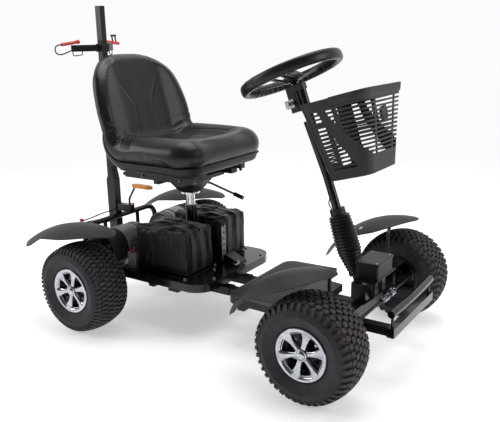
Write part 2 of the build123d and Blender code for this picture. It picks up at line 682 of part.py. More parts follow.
swivel_top = collar_top + 53.0
lug_y = 56.0
lug_z = collar_top + 27.5
with BuildPart() as seat_swivel:
    straight_rod((pedestal_x, 0, collar_bottom + 0.5), (pedestal_x, 0, collar_top), collar_radius)
    straight_rod((pedestal_x, 0, collar_top), (pedestal_x, 0, collar_top + 6), 36)
    with BuildSketch(Plane.XY.offset(collar_top + 6)):
        with Locations((pedestal_x, 0)):
            Rectangle(60, 60)
    with BuildSketch(Plane.XY.offset(swivel_top)):
        with Locations((pedestal_x, 0)):
            Rectangle(130, 110)
    loft()
    block((pedestal_x + 12, pedestal_x + 34), (20, lug_y), (lug_z - 8, lug_z + 8))
    straight_rod((pedestal_x, 0, collar_bottom), (pedestal_x, 0, collar_top + 31), collar_radius - 6 + running_fit, mode=Mode.SUBTRACT)
save(seat_swivel, "seat_swivel")

# Seat slides: two cross bars on the swivel, and on them a lower and an upper rail on each side
slide_y = 120.0
slide_bottom = swivel_top
slide_bar = 14.0
slide_back = rear_axle_x - 5.0
slide_front = rear_axle_x + 392.0
slide_split = 22.0
with BuildPart() as seat_slides:
    for cross_x in (pedestal_x - 52, pedestal_x + 52):
        block((cross_x - 12, cross_x + 12), (-slide_y - 15, slide_y + 15), (slide_bottom, slide_bottom + slide_bar))
    for side_name, side in SIDES:
        block((slide_back + 30, slide_front - 40), mirrored((slide_y - 18, slide_y + 18), side),
              (slide_bottom + slide_bar, slide_bottom + slide_bar + slide_split))
        block((slide_back, slide_front), mirrored((slide_y - 13, slide_y + 13), side),
              (slide_bottom + slide_bar + slide_split, seat_pan_bottom - 12))
save(seat_slides, "seat_slides")

with BuildPart() as seat_lever:
    bent_rod(((pedestal_x + 23, lug_y + 0.2, lug_z), (pedestal_x + 23, 84, lug_z), (pedestal_x + 186, 84, lug_z - 45.5)), 16, 4)
    straight_rod((pedestal_x + 146, 84, lug_z - 34.3), (pedestal_x + 186, 84, lug_z - 45.5), 8)
save(seat_lever, "seat_lever")

# Seat: a moulded pan under one upholstered bucket with a dished cushion and a wrapped back
pan_back = rear_axle_x + 52.0
pan_front = rear_axle_x + 396.0
pan_half = 222.0
with BuildPart() as seat_pan:
    with BuildSketch(Plane.XY.offset(seat_pan_bottom - 12)) as outline:
        with Locations(((pan_back + pan_front) / 2, 0)):
            RectangleRounded(pan_front - pan_back, 2 * pan_half, 60)
    extrude(amount=14)
save(seat_pan, "seat_pan")

CUSHION = (
    # height, back x, front x, half width
    (seat_pan_bottom + 2.3, rear_axle_x + 45.0, rear_axle_x + 398.0, 226.0),
    (seat_pan_bottom + 56.0, rear_axle_x + 20.0, rear_axle_x + 420.0, 248.0),
    (seat_pan_bottom + 112.0, rear_axle_x + 18.0, rear_axle_x + 388.0, 230.0),
)
back_lean = 16.0
back_foot = Vector(rear_axle_x + 34.0, 0, seat_pan_bottom + 48.0)
back_up = Vector(-sin(radians(back_lean)), 0, cos(radians(back_lean)))
with BuildPart() as seat:
    for height, back_x, front_x, half in CUSHION:
        with BuildSketch(Plane.XY.offset(height)):
            with Locations(((back_x + front_x) / 2, 0)):
                RectangleRounded(front_x - back_x, 2 * half, 90)
    loft()
    with BuildSketch(Plane.XZ.offset(-180)) as dish:
        with Locations((rear_axle_x + 230, seat_pan_bottom + 468)):
            Circle(400)
    extrude(amount=360, mode=Mode.SUBTRACT)
    back_plane = Plane(back_foot, x_dir=(0, 1, 0), z_dir=(back_up.Z, 0, -back_up.X))
    with BuildPart(mode=Mode.PRIVATE) as back:
        with BuildSketch(back_plane.offset(-120)) as front_view:
            with BuildLine():
                ThreePointArc((-244, 20), (-244, 145), (-226, 244))
                ThreePointArc((-226, 244), (-187, 309), (-106, 355))
                ThreePointArc((-106, 355), (0, 368), (106, 355))
                ThreePointArc((106, 355), (187, 309), (226, 244))
                ThreePointArc((226, 244), (244, 145), (244, 20))
                Line((244, 20), (230, -30))
                Line((230, -30), (-230, -30))
                Line((-230, -30), (-244, 20))
            make_face()
        extrude(amount=240)
        wrap_plane = Plane(back_foot - back_up * 40, x_dir=(0, 1, 0), z_dir=back_up)
        with BuildSketch(wrap_plane):
            with BuildLine():
                ThreePointArc((-248, -12), (0, 46), (248, -12))
                Line((248, -12), (248, -44))
                ThreePointArc((248, -44), (0, -20), (-248, -44))
                Line((-248, -44), (-248, -12))
            make_face()
        extrude(amount=460, mode=Mode.INTERSECT)
    add(back.part)
save(seat, "seat")

# Steering column: a leaning tube from its foot on the axle, with the head beside its top
basket_lean = 15.1
basket_origin = Vector(front_axle_x - 224.0, 0, 896.0)
basket_up = Vector(-sin(radians(basket_lean)), 0, cos(radians(basket_lean)))
basket_ahead = Vector(cos(radians(basket_lean)), 0, sin(radians(basket_lean)))
basket_top = -75.0
basket_bottom = -325.0
basket_wall = 3.0
bracket_reach = 56.0
gusset_bottom = -330.0
gusset_top = -130.0
BASKET = (
    # along the column, back edge, front edge, half width
    (basket_bottom, 66.0, 205.0, 112.0),
    (basket_top, 36.0, 262.0, 150.0),
)
cable_points = [column_top + column_up * along - column_ahead * behind
                for along, behind in ((-399.5, 16.7), (-409.0, 24.0), (-423.0, 24.5), (-433.1, 19.8))]
cable_leave = (cable_points[1] - cable_points[0]).normalized()
with BuildPart() as column:
    for along in (-140.0, -280.0):
        fall = (basket_top - along) / (basket_top - basket_bottom)
        reach = BASKET[1][1] + (BASKET[0][1] - BASKET[1][1]) * fall - 0.3
        with BuildSketch(Plane(basket_origin + basket_up * (along - 20), x_dir=basket_ahead, z_dir=basket_up)):
            with Locations((reach - bracket_reach / 2, 0)):
                Rectangle(bracket_reach, 24)
        extrude(amount=20)
    with BuildSketch(Plane(column_top + column_up * gusset_bottom, x_dir=column_ahead, z_dir=column_up)):
        Circle(column_radius - 0.5)
    with BuildSketch(Plane(column_top + column_up * gusset_top, x_dir=column_ahead, z_dir=column_up)):
        with Locations((-8, 0)):
            Circle(column_radius + 3)
    loft()
    straight_rod(column_foot, column_top + column_up * tube_top_along, column_radius)
    straight_rod(cable_points[0] - cable_leave * 8, cable_points[0] - cable_leave * 0.1, 3.2)
save(column, "steering_column")

head_back = 34.5
head_depth = 35.0
head_bottom = -92.0
cap_top = -6.0
head_half = 17.0
bore_bottom = -61.5
with BuildPart() as head:
    with BuildSketch(Plane(column_top + column_up * head_bottom, x_dir=column_ahead, z_dir=column_up)):
        with Locations((-head_back, 0)):
            RectangleRounded(head_depth, 2 * head_half, 5)
    extrude(amount=tube_top_along - head_bottom)
    with BuildSketch(Plane(column_top + column_up * tube_top_along, x_dir=column_ahead, z_dir=column_up)):
        with Locations(((column_radius - head_back - head_depth / 2) / 2, 0)):
            RectangleRounded(column_radius + head_back + head_depth / 2, 2 * head_half, 5)
    extrude(amount=cap_top - tube_top_along)
    with BuildSketch(Plane(column_top + column_up * head_bottom, x_dir=column_ahead, z_dir=column_up)):
        with Locations((-8, 0)):
            Circle(column_radius + 3.3)
    extrude(amount=tube_top_along - head_bottom, mode=Mode.SUBTRACT)
    straight_rod(steering_centre + steering_up * bore_bottom, steering_centre, steering_shaft_radius + running_fit, mode=Mode.SUBTRACT)
save(head, "column_head")

with BuildPart() as steering_wheel:
    wheel = Plane(steering_centre, x_dir=(0, 1, 0), z_dir=steering_up)
    with Locations(wheel.location):
        Torus(steering_rim_radius, steering_grip_radius)
    with BuildSketch(wheel.offset(-14)):
        Circle(34)
    extrude(amount=20)
    with BuildSketch(wheel.offset(-34)):
        Circle(17)
    with BuildSketch(wheel.offset(-14)):
        Circle(31)
    loft()
    with BuildSketch(wheel.offset(-8)):
        for turn in (-90, 30, 150):
            with Locations(Location((0, 0, 0), (0, 0, turn))):
                with Locations((steering_rim_radius / 2, 0)):
                    Rectangle(steering_rim_radius, 26)
    extrude(amount=7)
    straight_rod(steering_centre + steering_up * (bore_bottom + 0.5), steering_centre, steering_shaft_radius)
save(steering_wheel, "steering_wheel")

key_plane = Plane(column_top + column_up * -61.0 - column_ahead * (head_back + 6) - Vector(0, head_half, 0),
                  x_dir=column_ahead, z_dir=(0, -1, 0))
with BuildPart() as key_switch:
    with BuildSketch(key_plane.offset(0.2)):
        with Locations((-6, 0)):
            RectangleRounded(34, 28, 3)
    extrude(amount=5)
    with BuildSketch(key_plane.offset(5)):
        Circle(9)
    extrude(amount=11)
    with BuildSketch(key_plane.offset(14)):
        Rectangle(3, 12)
    extrude(amount=12)
save(key_switch, "key_switch")

# Boot: a ribbed rubber sleeve round the lower tube, with a collar above and a neck below
boot_top_along = -434.0
boot_length = 232.0
boot_collar = 26.0
boot_inner = column_radius + 3.0
rib_count = 18
rib_depth = 4.5
taper = 1.8
taper_from = 11
with BuildPart() as boot:
    boot_top = column_top + column_up * boot_top_along
    with BuildSketch(Plane(boot_top, x_dir=column_ahead, z_dir=Vector(0, -1, 0))):
        with BuildLine():
            pitch = (boot_length - 36) / rib_count
            grip = column_radius + 0.3
            points = [(grip, 0), (boot_collar, 0), (boot_collar, -22)]
            for rib in range(rib_count):
                low = -24 - pitch * rib
                grow = 37 + 5.0 * sin(pi * (rib + 0.5) / rib_count) - taper * max(0, rib - taper_from)
                points += [(grow, low - 0.25 * pitch), (grow - rib_depth, low - 0.7 * pitch)]
            points += [(24, -boot_length + 10), (24, -boot_length), (boot_inner, -boot_length), (boot_inner, -8), (grip, -8)]
            Polyline(*points, close=True)
        make_face()
    revolve(axis=Axis(boot_top, column_up))
save(boot, "column_boot")

# Basket: a tapered box hung ahead of the column, with rows of slots, a curved solid band and a lip
lip_height = 24.0
lip_proud = 4.0
slot_rows = 15
slot_height = 7.5
slot_first = 0.14
slot_last = 0.86
slot_post = 0.05
slot_least = 12.0


def basket_section(fall):
    """Back edge, front edge and half width of the basket at a share of the way down."""
    low, high = BASKET[0][1:], BASKET[1][1:]
    return [top + (bottom - top) * fall for bottom, top in zip(low, high)]


def slot_runs(fall):
    """Slots of one row in a side wall, as shares of its length, on both sides of the curved band."""
    band_back = 0.2 + 0.1 * fall + 0.45 * fall ** 2
    band_front = 0.3 + 0.1 * fall + 0.9 * fall ** 2
    post_back = 0.47 + 0.14 * fall
    return (0.1, band_back), (band_front, post_back), (max(post_back + 0.1, band_front), 0.88)


def basket_plane(along):
    return Plane(basket_origin + basket_up * along, x_dir=basket_ahead, z_dir=basket_up)


with BuildPart() as basket:
    for along, back_edge, front_edge, half in BASKET:
        with BuildSketch(basket_plane(along)):
            with Locations(((back_edge + front_edge) / 2, 0)):
                RectangleRounded(front_edge - back_edge, 2 * half, 34)
    loft()
    top_face = basket.faces().sort_by(Axis((0, 0, 0), tuple(basket_up)))[-1]
    offset(amount=-basket_wall, openings=top_face)
    for row in range(slot_rows):
        fall = slot_first + (slot_last - slot_first) * row / (slot_rows - 1)
        back_edge, front_edge, half = basket_section(fall)
        length = front_edge - back_edge
        along = basket_top - fall * (basket_top - basket_bottom)
        with BuildSketch(basket_plane(along - slot_height / 2)):
            for start, end in slot_runs(fall):
                if (end - start) * length > slot_least:
                    with Locations((back_edge + (start + end) / 2 * length, 0)):
                        Rectangle((end - start) * length, 2 * half + 20)
            for side_name, side in SIDES:
                reach = half - 36
                with Locations(((back_edge + front_edge) / 2, side * (14 + reach) / 2)):
                    Rectangle(length + 20, reach - 14)
        extrude(amount=slot_height, mode=Mode.SUBTRACT)
    back_edge, front_edge, half = BASKET[1][1:]
    with BuildSketch(basket_plane(basket_top - lip_height)):
        with Locations(((back_edge + front_edge) / 2, 0)):
            RectangleRounded(front_edge - back_edge + 2 * lip_proud, 2 * (half + lip_proud), 36)
            RectangleRounded(front_edge - back_edge - 8, 2 * half - 8, 30, mode=Mode.SUBTRACT)
    extrude(amount=lip_height)
save(basket, "basket")

# Cords and cables, as tubes along straight runs joined by tangent arcs
arc_share = 0.45


def corner_radii(points):
    """Radius of the arc at each inner point, as large as its two runs allow."""
    radii = []
    for before, corner, after in zip(points, points[1:], points[2:]):
        run_in, run_out = Vector(*corner) - Vector(*before), Vector(*after) - Vector(*corner)
        turn = radians(run_in.get_angle(run_out))
        radii.append(arc_share * min(run_in.length, run_out.length) / tan(turn / 2))
    return radii


CORDS = {
    # name: diameter, points of the route
    "upper_bag_cord": (5.0, [
        (arm_end_x - 4, -153.4, cradle_z + 14.6), (arm_end_x - 4, -172.0, cradle_z + 14.9),
        (arm_end_x - 4, -185.1, cradle_z + 5.9), (arm_end_x - 4, -186.5, cradle_z - 10.0),
        (arm_end_x - 4, -175.2, cradle_z - 21.3), (arm_end_x - 4, -157.2, cradle_z - 21.9),
        (arm_end_x - 3, -134.0, cradle_z - 16.5), (arm_end_x - 1, -112.0, cradle_z - 8.5),
    ]),
    "lower_bag_cord": (5.0, [
        (bag_post_x - 1.0, -17.9, lower_z + 35.5), (bag_post_x - 6.0, -40.0, lower_z + 36.0),
        (bag_post_x - 15.0, -72.0, lower_z + 31.0), (bag_post_x - 25.5, -107.5, lower_z + 22.7),
        (bag_post_x - 37.1, -142.0, lower_z + 17.4),
    ]),
    "column_cable": (4.0, [tuple(point) for point in cable_points]),
    "power_lead": (5.0, [
        (plug_x, plug_y, plug_top + 0.3), (plug_x - 1.0, plug_y + 1.0, plug_top + 17.0),
        (plug_x + 3.0, plug_y + 19.0, plug_top + 30.0), (bag_back - 2.4, plug_y + 37.0, plug_top + 26.0),
    ]),
}
for cord_name, (diameter, points) in CORDS.items():
    radii = corner_radii(points)
    with BuildPart() as cord:
        with BuildLine():
            route = FilletPolyline(*points, radius=radii)
        with BuildSketch(Plane(route @ 0, z_dir=route % 0)) as disc:
            Circle(diameter / 2)
        sweep(disc.sketch, path=route)
    print(cord_name, round(route.length, 1), "mm, radii", [round(radius, 1) for radius in radii],
          "volume share", round(cord.part.volume / (route.length * pi * diameter ** 2 / 4), 3))
    save(cord, cord_name)
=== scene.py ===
import json
import math

import bmesh
import bpy
from mathutils import Matrix, Vector, noise
from mathutils.bvhtree import BVHTree
from mathutils.kdtree import KDTree


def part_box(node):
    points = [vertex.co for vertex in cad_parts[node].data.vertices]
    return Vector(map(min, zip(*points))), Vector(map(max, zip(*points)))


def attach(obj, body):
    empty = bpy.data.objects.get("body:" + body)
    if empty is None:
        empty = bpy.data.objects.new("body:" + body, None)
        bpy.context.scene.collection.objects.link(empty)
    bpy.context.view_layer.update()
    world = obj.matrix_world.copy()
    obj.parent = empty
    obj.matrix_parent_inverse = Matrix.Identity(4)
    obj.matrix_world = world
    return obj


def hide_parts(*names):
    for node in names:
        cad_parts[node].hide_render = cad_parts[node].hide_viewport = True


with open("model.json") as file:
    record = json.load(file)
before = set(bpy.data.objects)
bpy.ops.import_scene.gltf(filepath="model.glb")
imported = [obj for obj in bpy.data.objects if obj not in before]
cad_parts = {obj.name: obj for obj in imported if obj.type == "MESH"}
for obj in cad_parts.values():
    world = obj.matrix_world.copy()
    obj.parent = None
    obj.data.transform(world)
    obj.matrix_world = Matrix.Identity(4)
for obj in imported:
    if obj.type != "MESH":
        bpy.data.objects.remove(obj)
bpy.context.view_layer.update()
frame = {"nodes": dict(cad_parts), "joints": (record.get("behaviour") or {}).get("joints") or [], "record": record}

# A single-seat golf buggy. +X points forward, +Y to the rider's left and +Z up, in metres.
# Sizes are written in millimetres and turned to metres by MM.
MM = 0.001
UP = Vector((0, 0, 1))
ACROSS = Vector((0, 1, 0))
SIDES = (("left", 1), ("right", -1))

JOINTS = {joint["name"]: joint for joint in frame["joints"]}


def joint_place(name):
    """A joint's point in the row frame."""
    return Vector(JOINTS[name]["pos_m"])


def mm(*pairs):
    """Pairs of millimetres as metres, such as a lathe profile's (radius, along)."""
    return [(radius * MM, along * MM) for radius, along in pairs]


REAR_X = joint_place("roll_rear_left").x
FRONT_X = joint_place("roll_front_left").x
AXLE_Z = joint_place("roll_rear_left").z
HALF_TRACK = joint_place("roll_rear_left").y

# Colour and node helpers


def colour(code):
    """An sRGB hex code as linear red, green, blue and alpha."""
    def linear(part):
        value = int(part, 16) / 255
        return value / 12.92 if value <= 0.04045 else ((value + 0.055) / 1.055) ** 2.4
    return (linear(code[1:3]), linear(code[3:5]), linear(code[5:7]), 1.0)


def add_node(tree, kind, settings=None, links=None):
    """Adds a node, sets its properties, and fills or links its inputs."""
    node = tree.nodes.new(kind)
    for key, value in (settings or {}).items():
        setattr(node, key, value)
    for key, value in (links or {}).items():
        if isinstance(value, bpy.types.NodeSocket):
            tree.links.new(value, node.inputs[key])
        else:
            node.inputs[key].default_value = value
    return node


def start_material(name):
    """An empty material tree and its object coordinates."""
    material = bpy.data.materials.new(name)
    material.use_nodes = True
    tree = material.node_tree
    tree.nodes.clear()
    place = add_node(tree, "ShaderNodeTexCoord").outputs["Object"]
    return material, tree, place


def end_material(tree, **sockets):
    """Closes a tree with its shader; each keyword is a socket name with _ for a space."""
    links = {key.replace("_", " "): value for key, value in sockets.items()}
    shader = add_node(tree, "ShaderNodeBsdfPrincipled", None, links)
    add_node(tree, "ShaderNodeOutputMaterial", None, {"Surface": shader.outputs["BSDF"]})


def worn_finish(name, dark, light, patch_mm, rough, grain_mm, depth_mm, **sockets):
    """A finish whose colour and gloss drift over a patch size, with a fine grain of a given depth."""
    material, tree, place = start_material(name)
    patch = add_node(tree, "ShaderNodeTexNoise", None,
                     {"Vector": place, "Scale": 1 / (patch_mm * MM), "Detail": 5.0, "Roughness": 0.6})
    spread = add_node(tree, "ShaderNodeMapRange", None,
                      {"Value": patch.outputs["Fac"], "From Min": 0.35, "From Max": 0.65})
    tint = add_node(tree, "ShaderNodeMix", {"data_type": "RGBA"},
                    {0: spread.outputs["Result"], 6: colour(dark), 7: colour(light)})
    gloss = add_node(tree, "ShaderNodeMapRange", None,
                     {"Value": patch.outputs["Fac"], "To Min": rough * 0.8, "To Max": rough * 1.2})
    grain = add_node(tree, "ShaderNodeTexNoise", None,
                     {"Vector": place, "Scale": 1 / (grain_mm * MM), "Detail": 3.0})
    relief = add_node(tree, "ShaderNodeBump", None,
                      {"Height": grain.outputs["Fac"], "Strength": 1.0, "Distance": depth_mm * MM})
    end_material(tree, Base_Color=tint.outputs[2], Roughness=gloss.outputs["Result"],
                 Normal=relief.outputs["Normal"], **sockets)
    return material


# Materials


def turf_rubber():
    """Moulded natural rubber: dull grey black, a little dusty, with the fine sand of the mould."""
    return worn_finish("moulded_rubber", "#232225", "#343236", 24, 0.62, 0.9, 0.10,
                       Specular_IOR_Level=0.30)


def worn_tread_rubber():
    """Tread blocks with a trace of dry earth: browner and rougher than the wall."""
    return worn_finish("tread_rubber", "#262424", "#4a4441", 14, 0.66, 1.2, 0.14,
                       Specular_IOR_Level=0.28)


def vinyl():
    """Upholstery vinyl: soft satin black with a pebble grain about 1.2 mm wide."""
    material, tree, place = start_material("embossed_vinyl")
    pebble = add_node(tree, "ShaderNodeTexVoronoi", {"feature": "SMOOTH_F1"},
                      {"Vector": place, "Scale": 1 / (1.3 * MM), "Smoothness": 0.6})
    sheen = add_node(tree, "ShaderNodeTexNoise", None,
                     {"Vector": place, "Scale": 1 / (60 * MM), "Detail": 3.0})
    tint = add_node(tree, "ShaderNodeMix", {"data_type": "RGBA"},
                    {0: sheen.outputs["Fac"], 6: colour("#151619"), 7: colour("#1e1f23")})
    gloss = add_node(tree, "ShaderNodeMapRange", None,
                     {"Value": sheen.outputs["Fac"], "To Min": 0.30, "To Max": 0.40})
    relief = add_node(tree, "ShaderNodeBump", None,
                      {"Height": pebble.outputs["Distance"], "Strength": 0.35, "Distance": 0.10 * MM})
    end_material(tree, Base_Color=tint.outputs[2], Roughness=gloss.outputs["Result"],
                 Normal=relief.outputs["Normal"], Specular_IOR_Level=0.30, Coat_Weight=0.14,
                 Coat_Roughness=0.20)
    return material


def nylon():
    """Coated nylon cloth: a plain weave drawn 1.2 mm wide, coarser than real so that it shows."""
    material, tree, place = start_material("woven_nylon")
    weave = []
    for direction in ("X", "Y"):
        bands = add_node(tree, "ShaderNodeTexWave", {"bands_direction": direction},
                         {"Vector": place, "Scale": 0.5 / (1.2 * MM * 3.2)})
        weave.append(bands.outputs["Fac"])
    both = add_node(tree, "ShaderNodeMath", {"operation": "MULTIPLY"}, {0: weave[0], 1: weave[1]})
    fade = add_node(tree, "ShaderNodeTexNoise", None,
                    {"Vector": place, "Scale": 1 / (45 * MM), "Detail": 4.0})
    tint = add_node(tree, "ShaderNodeMix", {"data_type": "RGBA"},
                    {0: fade.outputs["Fac"], 6: colour("#0c0c0f"), 7: colour("#18181d")})
    gloss = add_node(tree, "ShaderNodeMapRange", None,
                     {"Value": fade.outputs["Fac"], "To Min": 0.42, "To Max": 0.62})
    relief = add_node(tree, "ShaderNodeBump", None,
                      {"Height": both.outputs["Value"], "Strength": 0.4, "Distance": 0.15 * MM})
    end_material(tree, Base_Color=tint.outputs[2], Roughness=gloss.outputs["Result"],
                 Normal=relief.outputs["Normal"], Specular_IOR_Level=0.32, Sheen_Weight=0.06,
                 Sheen_Roughness=0.4)
    return material


def webbing():
    """Polypropylene webbing: ribs 1.5 mm apart across the strap."""
    material, tree, place = start_material("ribbed_webbing")
    ribs = add_node(tree, "ShaderNodeTexWave", {"bands_direction": "Z"},
                    {"Vector": place, "Scale": 0.5 / (1.5 * MM * 3.2), "Distortion": 0.4})
    fade = add_node(tree, "ShaderNodeTexNoise", None, {"Vector": place, "Scale": 1 / (30 * MM)})
    tint = add_node(tree, "ShaderNodeMix", {"data_type": "RGBA"},
                    {0: fade.outputs["Fac"], 6: colour("#1c1c20"), 7: colour("#2c2c32")})
    relief = add_node(tree, "ShaderNodeBump", None,
                      {"Height": ribs.outputs["Fac"], "Strength": 0.6, "Distance": 0.3 * MM})
    end_material(tree, Base_Color=tint.outputs[2], Roughness=0.55, Normal=relief.outputs["Normal"],
                 Sheen_Weight=0.2)
    return material


def satin_powder():
    """Black polyester powder coat, satin, with its faint orange peel."""
    return worn_finish("satin_powder_coat", "#0b0b0d", "#131315", 60, 0.34, 2.4, 0.06, Coat_Weight=0.12,
                       Coat_Roughness=0.2, Specular_IOR_Level=0.28)


def gloss_powder():
    """Black gloss powder coat on the deck: mirrors the lamps with a slight ripple."""
    return worn_finish("gloss_powder_coat", "#09090b", "#0f0f12", 80, 0.20, 5.0, 0.05, Coat_Weight=0.25,
                       Coat_Roughness=0.06, Specular_IOR_Level=0.3)


def chrome():
    """Chromed ABS wheel cover: bright, hard reflections with a slight haze."""
    return worn_finish("chrome_plate", "#a2a4aa", "#c2c4ca", 30, 0.13, 9.0, 0.02, Metallic=1.0)


def zinc():
    """Zinc plated steel: grey, brushed by tumbling, a little cloudy."""
    return worn_finish("zinc_plate", "#9da0a6", "#c9ccd2", 9, 0.33, 0.8, 0.03, Metallic=1.0)


def bright_collar():
    """Chromed steel of the turning collar, finely brushed round."""
    return worn_finish("brushed_chrome", "#b9bcc2", "#e6e8ec", 7, 0.20, 1.5, 0.03, Metallic=1.0)


def dull_steel():
    """Plain turned steel of the shafts and perforated strap."""
    return worn_finish("turned_steel", "#4b4c50", "#77797e", 14, 0.42, 0.7, 0.03, Metallic=1.0)


def moulded_black():
    """Injection moulded ABS, black with a fine spark texture."""
    return worn_finish("moulded_abs", "#161618", "#1e1e21", 50, 0.42, 0.8, 0.05,
                       Specular_IOR_Level=0.32)


def charcoal_plastic():
    """Moulded polypropylene of fenders and basket: charcoal, matt, softly mottled."""
    return worn_finish("moulded_polypropylene", "#232123", "#2f2c2e", 55, 0.50, 0.9, 0.06,
                       Specular_IOR_Level=0.30)


def soft_grip():
    """Polyurethane foam skin of the steering wheel rim: satin with a fine leather grain."""
    return worn_finish("polyurethane_skin", "#151518", "#1e1e22", 40, 0.34, 1.6, 0.10,
                       Specular_IOR_Level=0.32)


def ribbed_rubber():
    """Nitrile rubber of the boot: black, softly shining on its ribs."""
    return worn_finish("nitrile_rubber", "#141416", "#1e1e21", 30, 0.40, 0.9, 0.05,
                       Specular_IOR_Level=0.34)


def cord_skin():
    """Braided polyester cord and cable sleeve."""
    return worn_finish("braided_cord", "#111113", "#202023", 6, 0.5, 0.8, 0.20)


def coral_plastic():
    """Coral red nylon grips, slightly translucent and worn."""
    return worn_finish("coral_nylon", "#c5352c", "#dc4a3d", 18, 0.40, 1.0, 0.08)


def orange_plastic():
    """Orange polypropylene paddle."""
    return worn_finish("orange_polypropylene", "#e88f14", "#f5a42a", 25, 0.45, 1.1, 0.05)


def motor_paint():
    """Grey enamel on the motors' field rings."""
    return worn_finish("grey_enamel", "#77787b", "#97989b", 26, 0.38, 1.4, 0.06, Metallic=0.2)


def motor_black():
    """Cast aluminium covers painted black."""
    return worn_finish("painted_casting", "#0e0e10", "#1c1b1e", 16, 0.45, 1.8, 0.20)


def plug_plastic():
    """Grey polycarbonate of the power connectors."""
    return worn_finish("grey_polycarbonate", "#8c8d8f", "#aaabac", 12, 0.42, 1.0, 0.04)


def red_rubber():
    """Red rubber boots on the battery leads."""
    return worn_finish("red_rubber", "#8e1c1a", "#b32a26", 9, 0.45, 0.9, 0.08)


def blue_line():
    """Blue paint line that the tyre's maker leaves on the shoulder, worn thin."""
    return worn_finish("blue_mark", "#2f4468", "#45608c", 10, 0.6, 1.0, 0.05)


MATERIALS = {
    "turf_rubber": turf_rubber(), "tread": worn_tread_rubber(), "black_vinyl": vinyl(),
    "black_nylon": nylon(),
    "webbing": webbing(), "black_powder": satin_powder(), "gloss_black": gloss_powder(),
    "chrome_cover": chrome(), "zinc_rod": zinc(), "bare_steel": dull_steel(),
    "black_plastic": moulded_black(),
    "charcoal_plastic": charcoal_plastic(), "grip_pu": soft_grip(), "black_rubber": ribbed_rubber(),
    "black_cord": cord_skin(), "coral_plastic": coral_plastic(), "orange_plastic": orange_plastic(),
    "motor_grey": motor_paint(), "motor_black": motor_black(), "plug_grey": plug_plastic(),
    "bright_collar": bright_collar(), "red_rubber": red_rubber(), "blue_line": blue_line(),
}
MATERIALS["chrome_post"] = MATERIALS["zinc_rod"]
MATERIALS["zinc_strap"] = MATERIALS["bare_steel"]
MATERIALS["battery_case"] = MATERIALS["black_plastic"]

# Shapes


class Shape:
    """Points and faces gathered for one piece."""

    def __init__(self):
        self.points = []
        self.faces = []

    def add(self, points, faces):
        start = len(self.points)
        self.points += [Vector(point) for point in points]
        self.faces += [tuple(start + index for index in face) for face in faces]

    def rings(self, rings, closed=False, capped=True):
        """Skins rings of equal count; closed joins the last ring to the first."""
        count = len(rings[0])
        faces = []
        last = len(rings) if closed else len(rings) - 1
        for ring in range(last):
            here, there = ring * count, (ring + 1) % len(rings) * count
            for step in range(count):
                after = (step + 1) % count
                faces.append((here + step, here + after, there + after, there + step))
        if capped and not closed:
            faces.append(tuple(reversed(range(count))))
            faces.append(tuple(range((len(rings) - 1) * count, len(rings) * count)))
        self.add([point for ring in rings for point in ring], faces)

    def lathe(self, origin, axis, profile, steps=48, closed=False):
        """Turns (radius, along) pairs about an axis; closed joins the profile's ends."""
        origin, axis = Vector(origin), Vector(axis).normalized()
        side = axis.orthogonal().normalized()
        other = axis.cross(side)
        rings = []
        for radius, along in profile:
            ring = []
            for step in range(steps):
                angle = math.tau * step / steps
                out = side * math.cos(angle) + other * math.sin(angle)
                ring.append(origin + axis * along + out * radius)
            rings.append(ring)
        self.rings(rings, closed=closed, capped=not closed)

    def tube(self, path, radius, steps=10, closed=False):
        """A round bar along points, its section carried without twist."""
        path = [Vector(point) for point in path]
        count = len(path)
        side = None
        rings = []
        for index, point in enumerate(path):
            before = path[index - 1] if index or closed else point
            after = path[(index + 1) % count] if index < count - 1 or closed else point
            along = (after - before).normalized()
            side = along.orthogonal() if side is None else side - along * side.dot(along)
            side.normalize()
            other = along.cross(side)
            ring = []
            for step in range(steps):
                angle = math.tau * step / steps
                ring.append(point + (side * math.cos(angle) + other * math.sin(angle)) * radius)
            rings.append(ring)
        self.rings(rings, closed=closed)

    def box(self, low, high):
        """A box between two corners."""
        (ax, ay, az), (bx, by, bz) = low, high
        self.prism([(ax, ay, az), (bx, ay, az), (bx, by, az), (ax, by, az)], Vector((0, 0, bz - az)))

    def prism(self, outline, run):
        """An outline carried along a vector."""
        outline = [Vector(point) for point in outline]
        self.rings([outline, [point + Vector(run) for point in outline]])

    def save(self, name, finish, body, slot=None, sharp=35, bevel=0.0, levels=0, replaces=()):
        """Makes the object, gives it its finish and lets it ride on its body."""
        mesh = bpy.data.meshes.new(name)
        mesh.from_pydata([tuple(point) for point in self.points], [], self.faces)
        mesh.validate()
        thing = bpy.data.objects.new(name, mesh)
        return dress(thing, finish, body, sharp, bevel, levels, replaces)


def dress(thing, finish, body, sharp=35, bevel=0.0, levels=0, replaces=()):
    """Links an object and sets its normals, modifiers, material and body."""
    bpy.context.scene.collection.objects.link(thing)
    mesh = thing.data
    set_normals(mesh, sharp)
    mesh.materials.clear()
    mesh.materials.append(MATERIALS[finish])
    if bevel:
        edge = thing.modifiers.new("rounded_edges", "BEVEL")
        edge.width, edge.segments = bevel, 2
        edge.limit_method, edge.angle_limit = "ANGLE", math.radians(40)
        edge.harden_normals = False
    if levels:
        smooth = thing.modifiers.new("smooth", "SUBSURF")
        smooth.levels = smooth.render_levels = levels
    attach(thing, body)
    if replaces:
        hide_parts(*replaces)
    return thing


def turn_outward(mesh):
    """Turns all faces outward."""
    work = bmesh.new()
    work.from_mesh(mesh)
    bmesh.ops.recalc_face_normals(work, faces=work.faces)
    work.to_mesh(mesh)
    work.free()


def set_normals(mesh, sharp):
    """Turns faces outward and marks the edges that stay sharp."""
    turn_outward(mesh)
    mesh.polygons.foreach_set("use_smooth", [True] * len(mesh.polygons))
    mesh.set_sharp_from_angle(angle=math.radians(sharp))


# Camera, floor and light


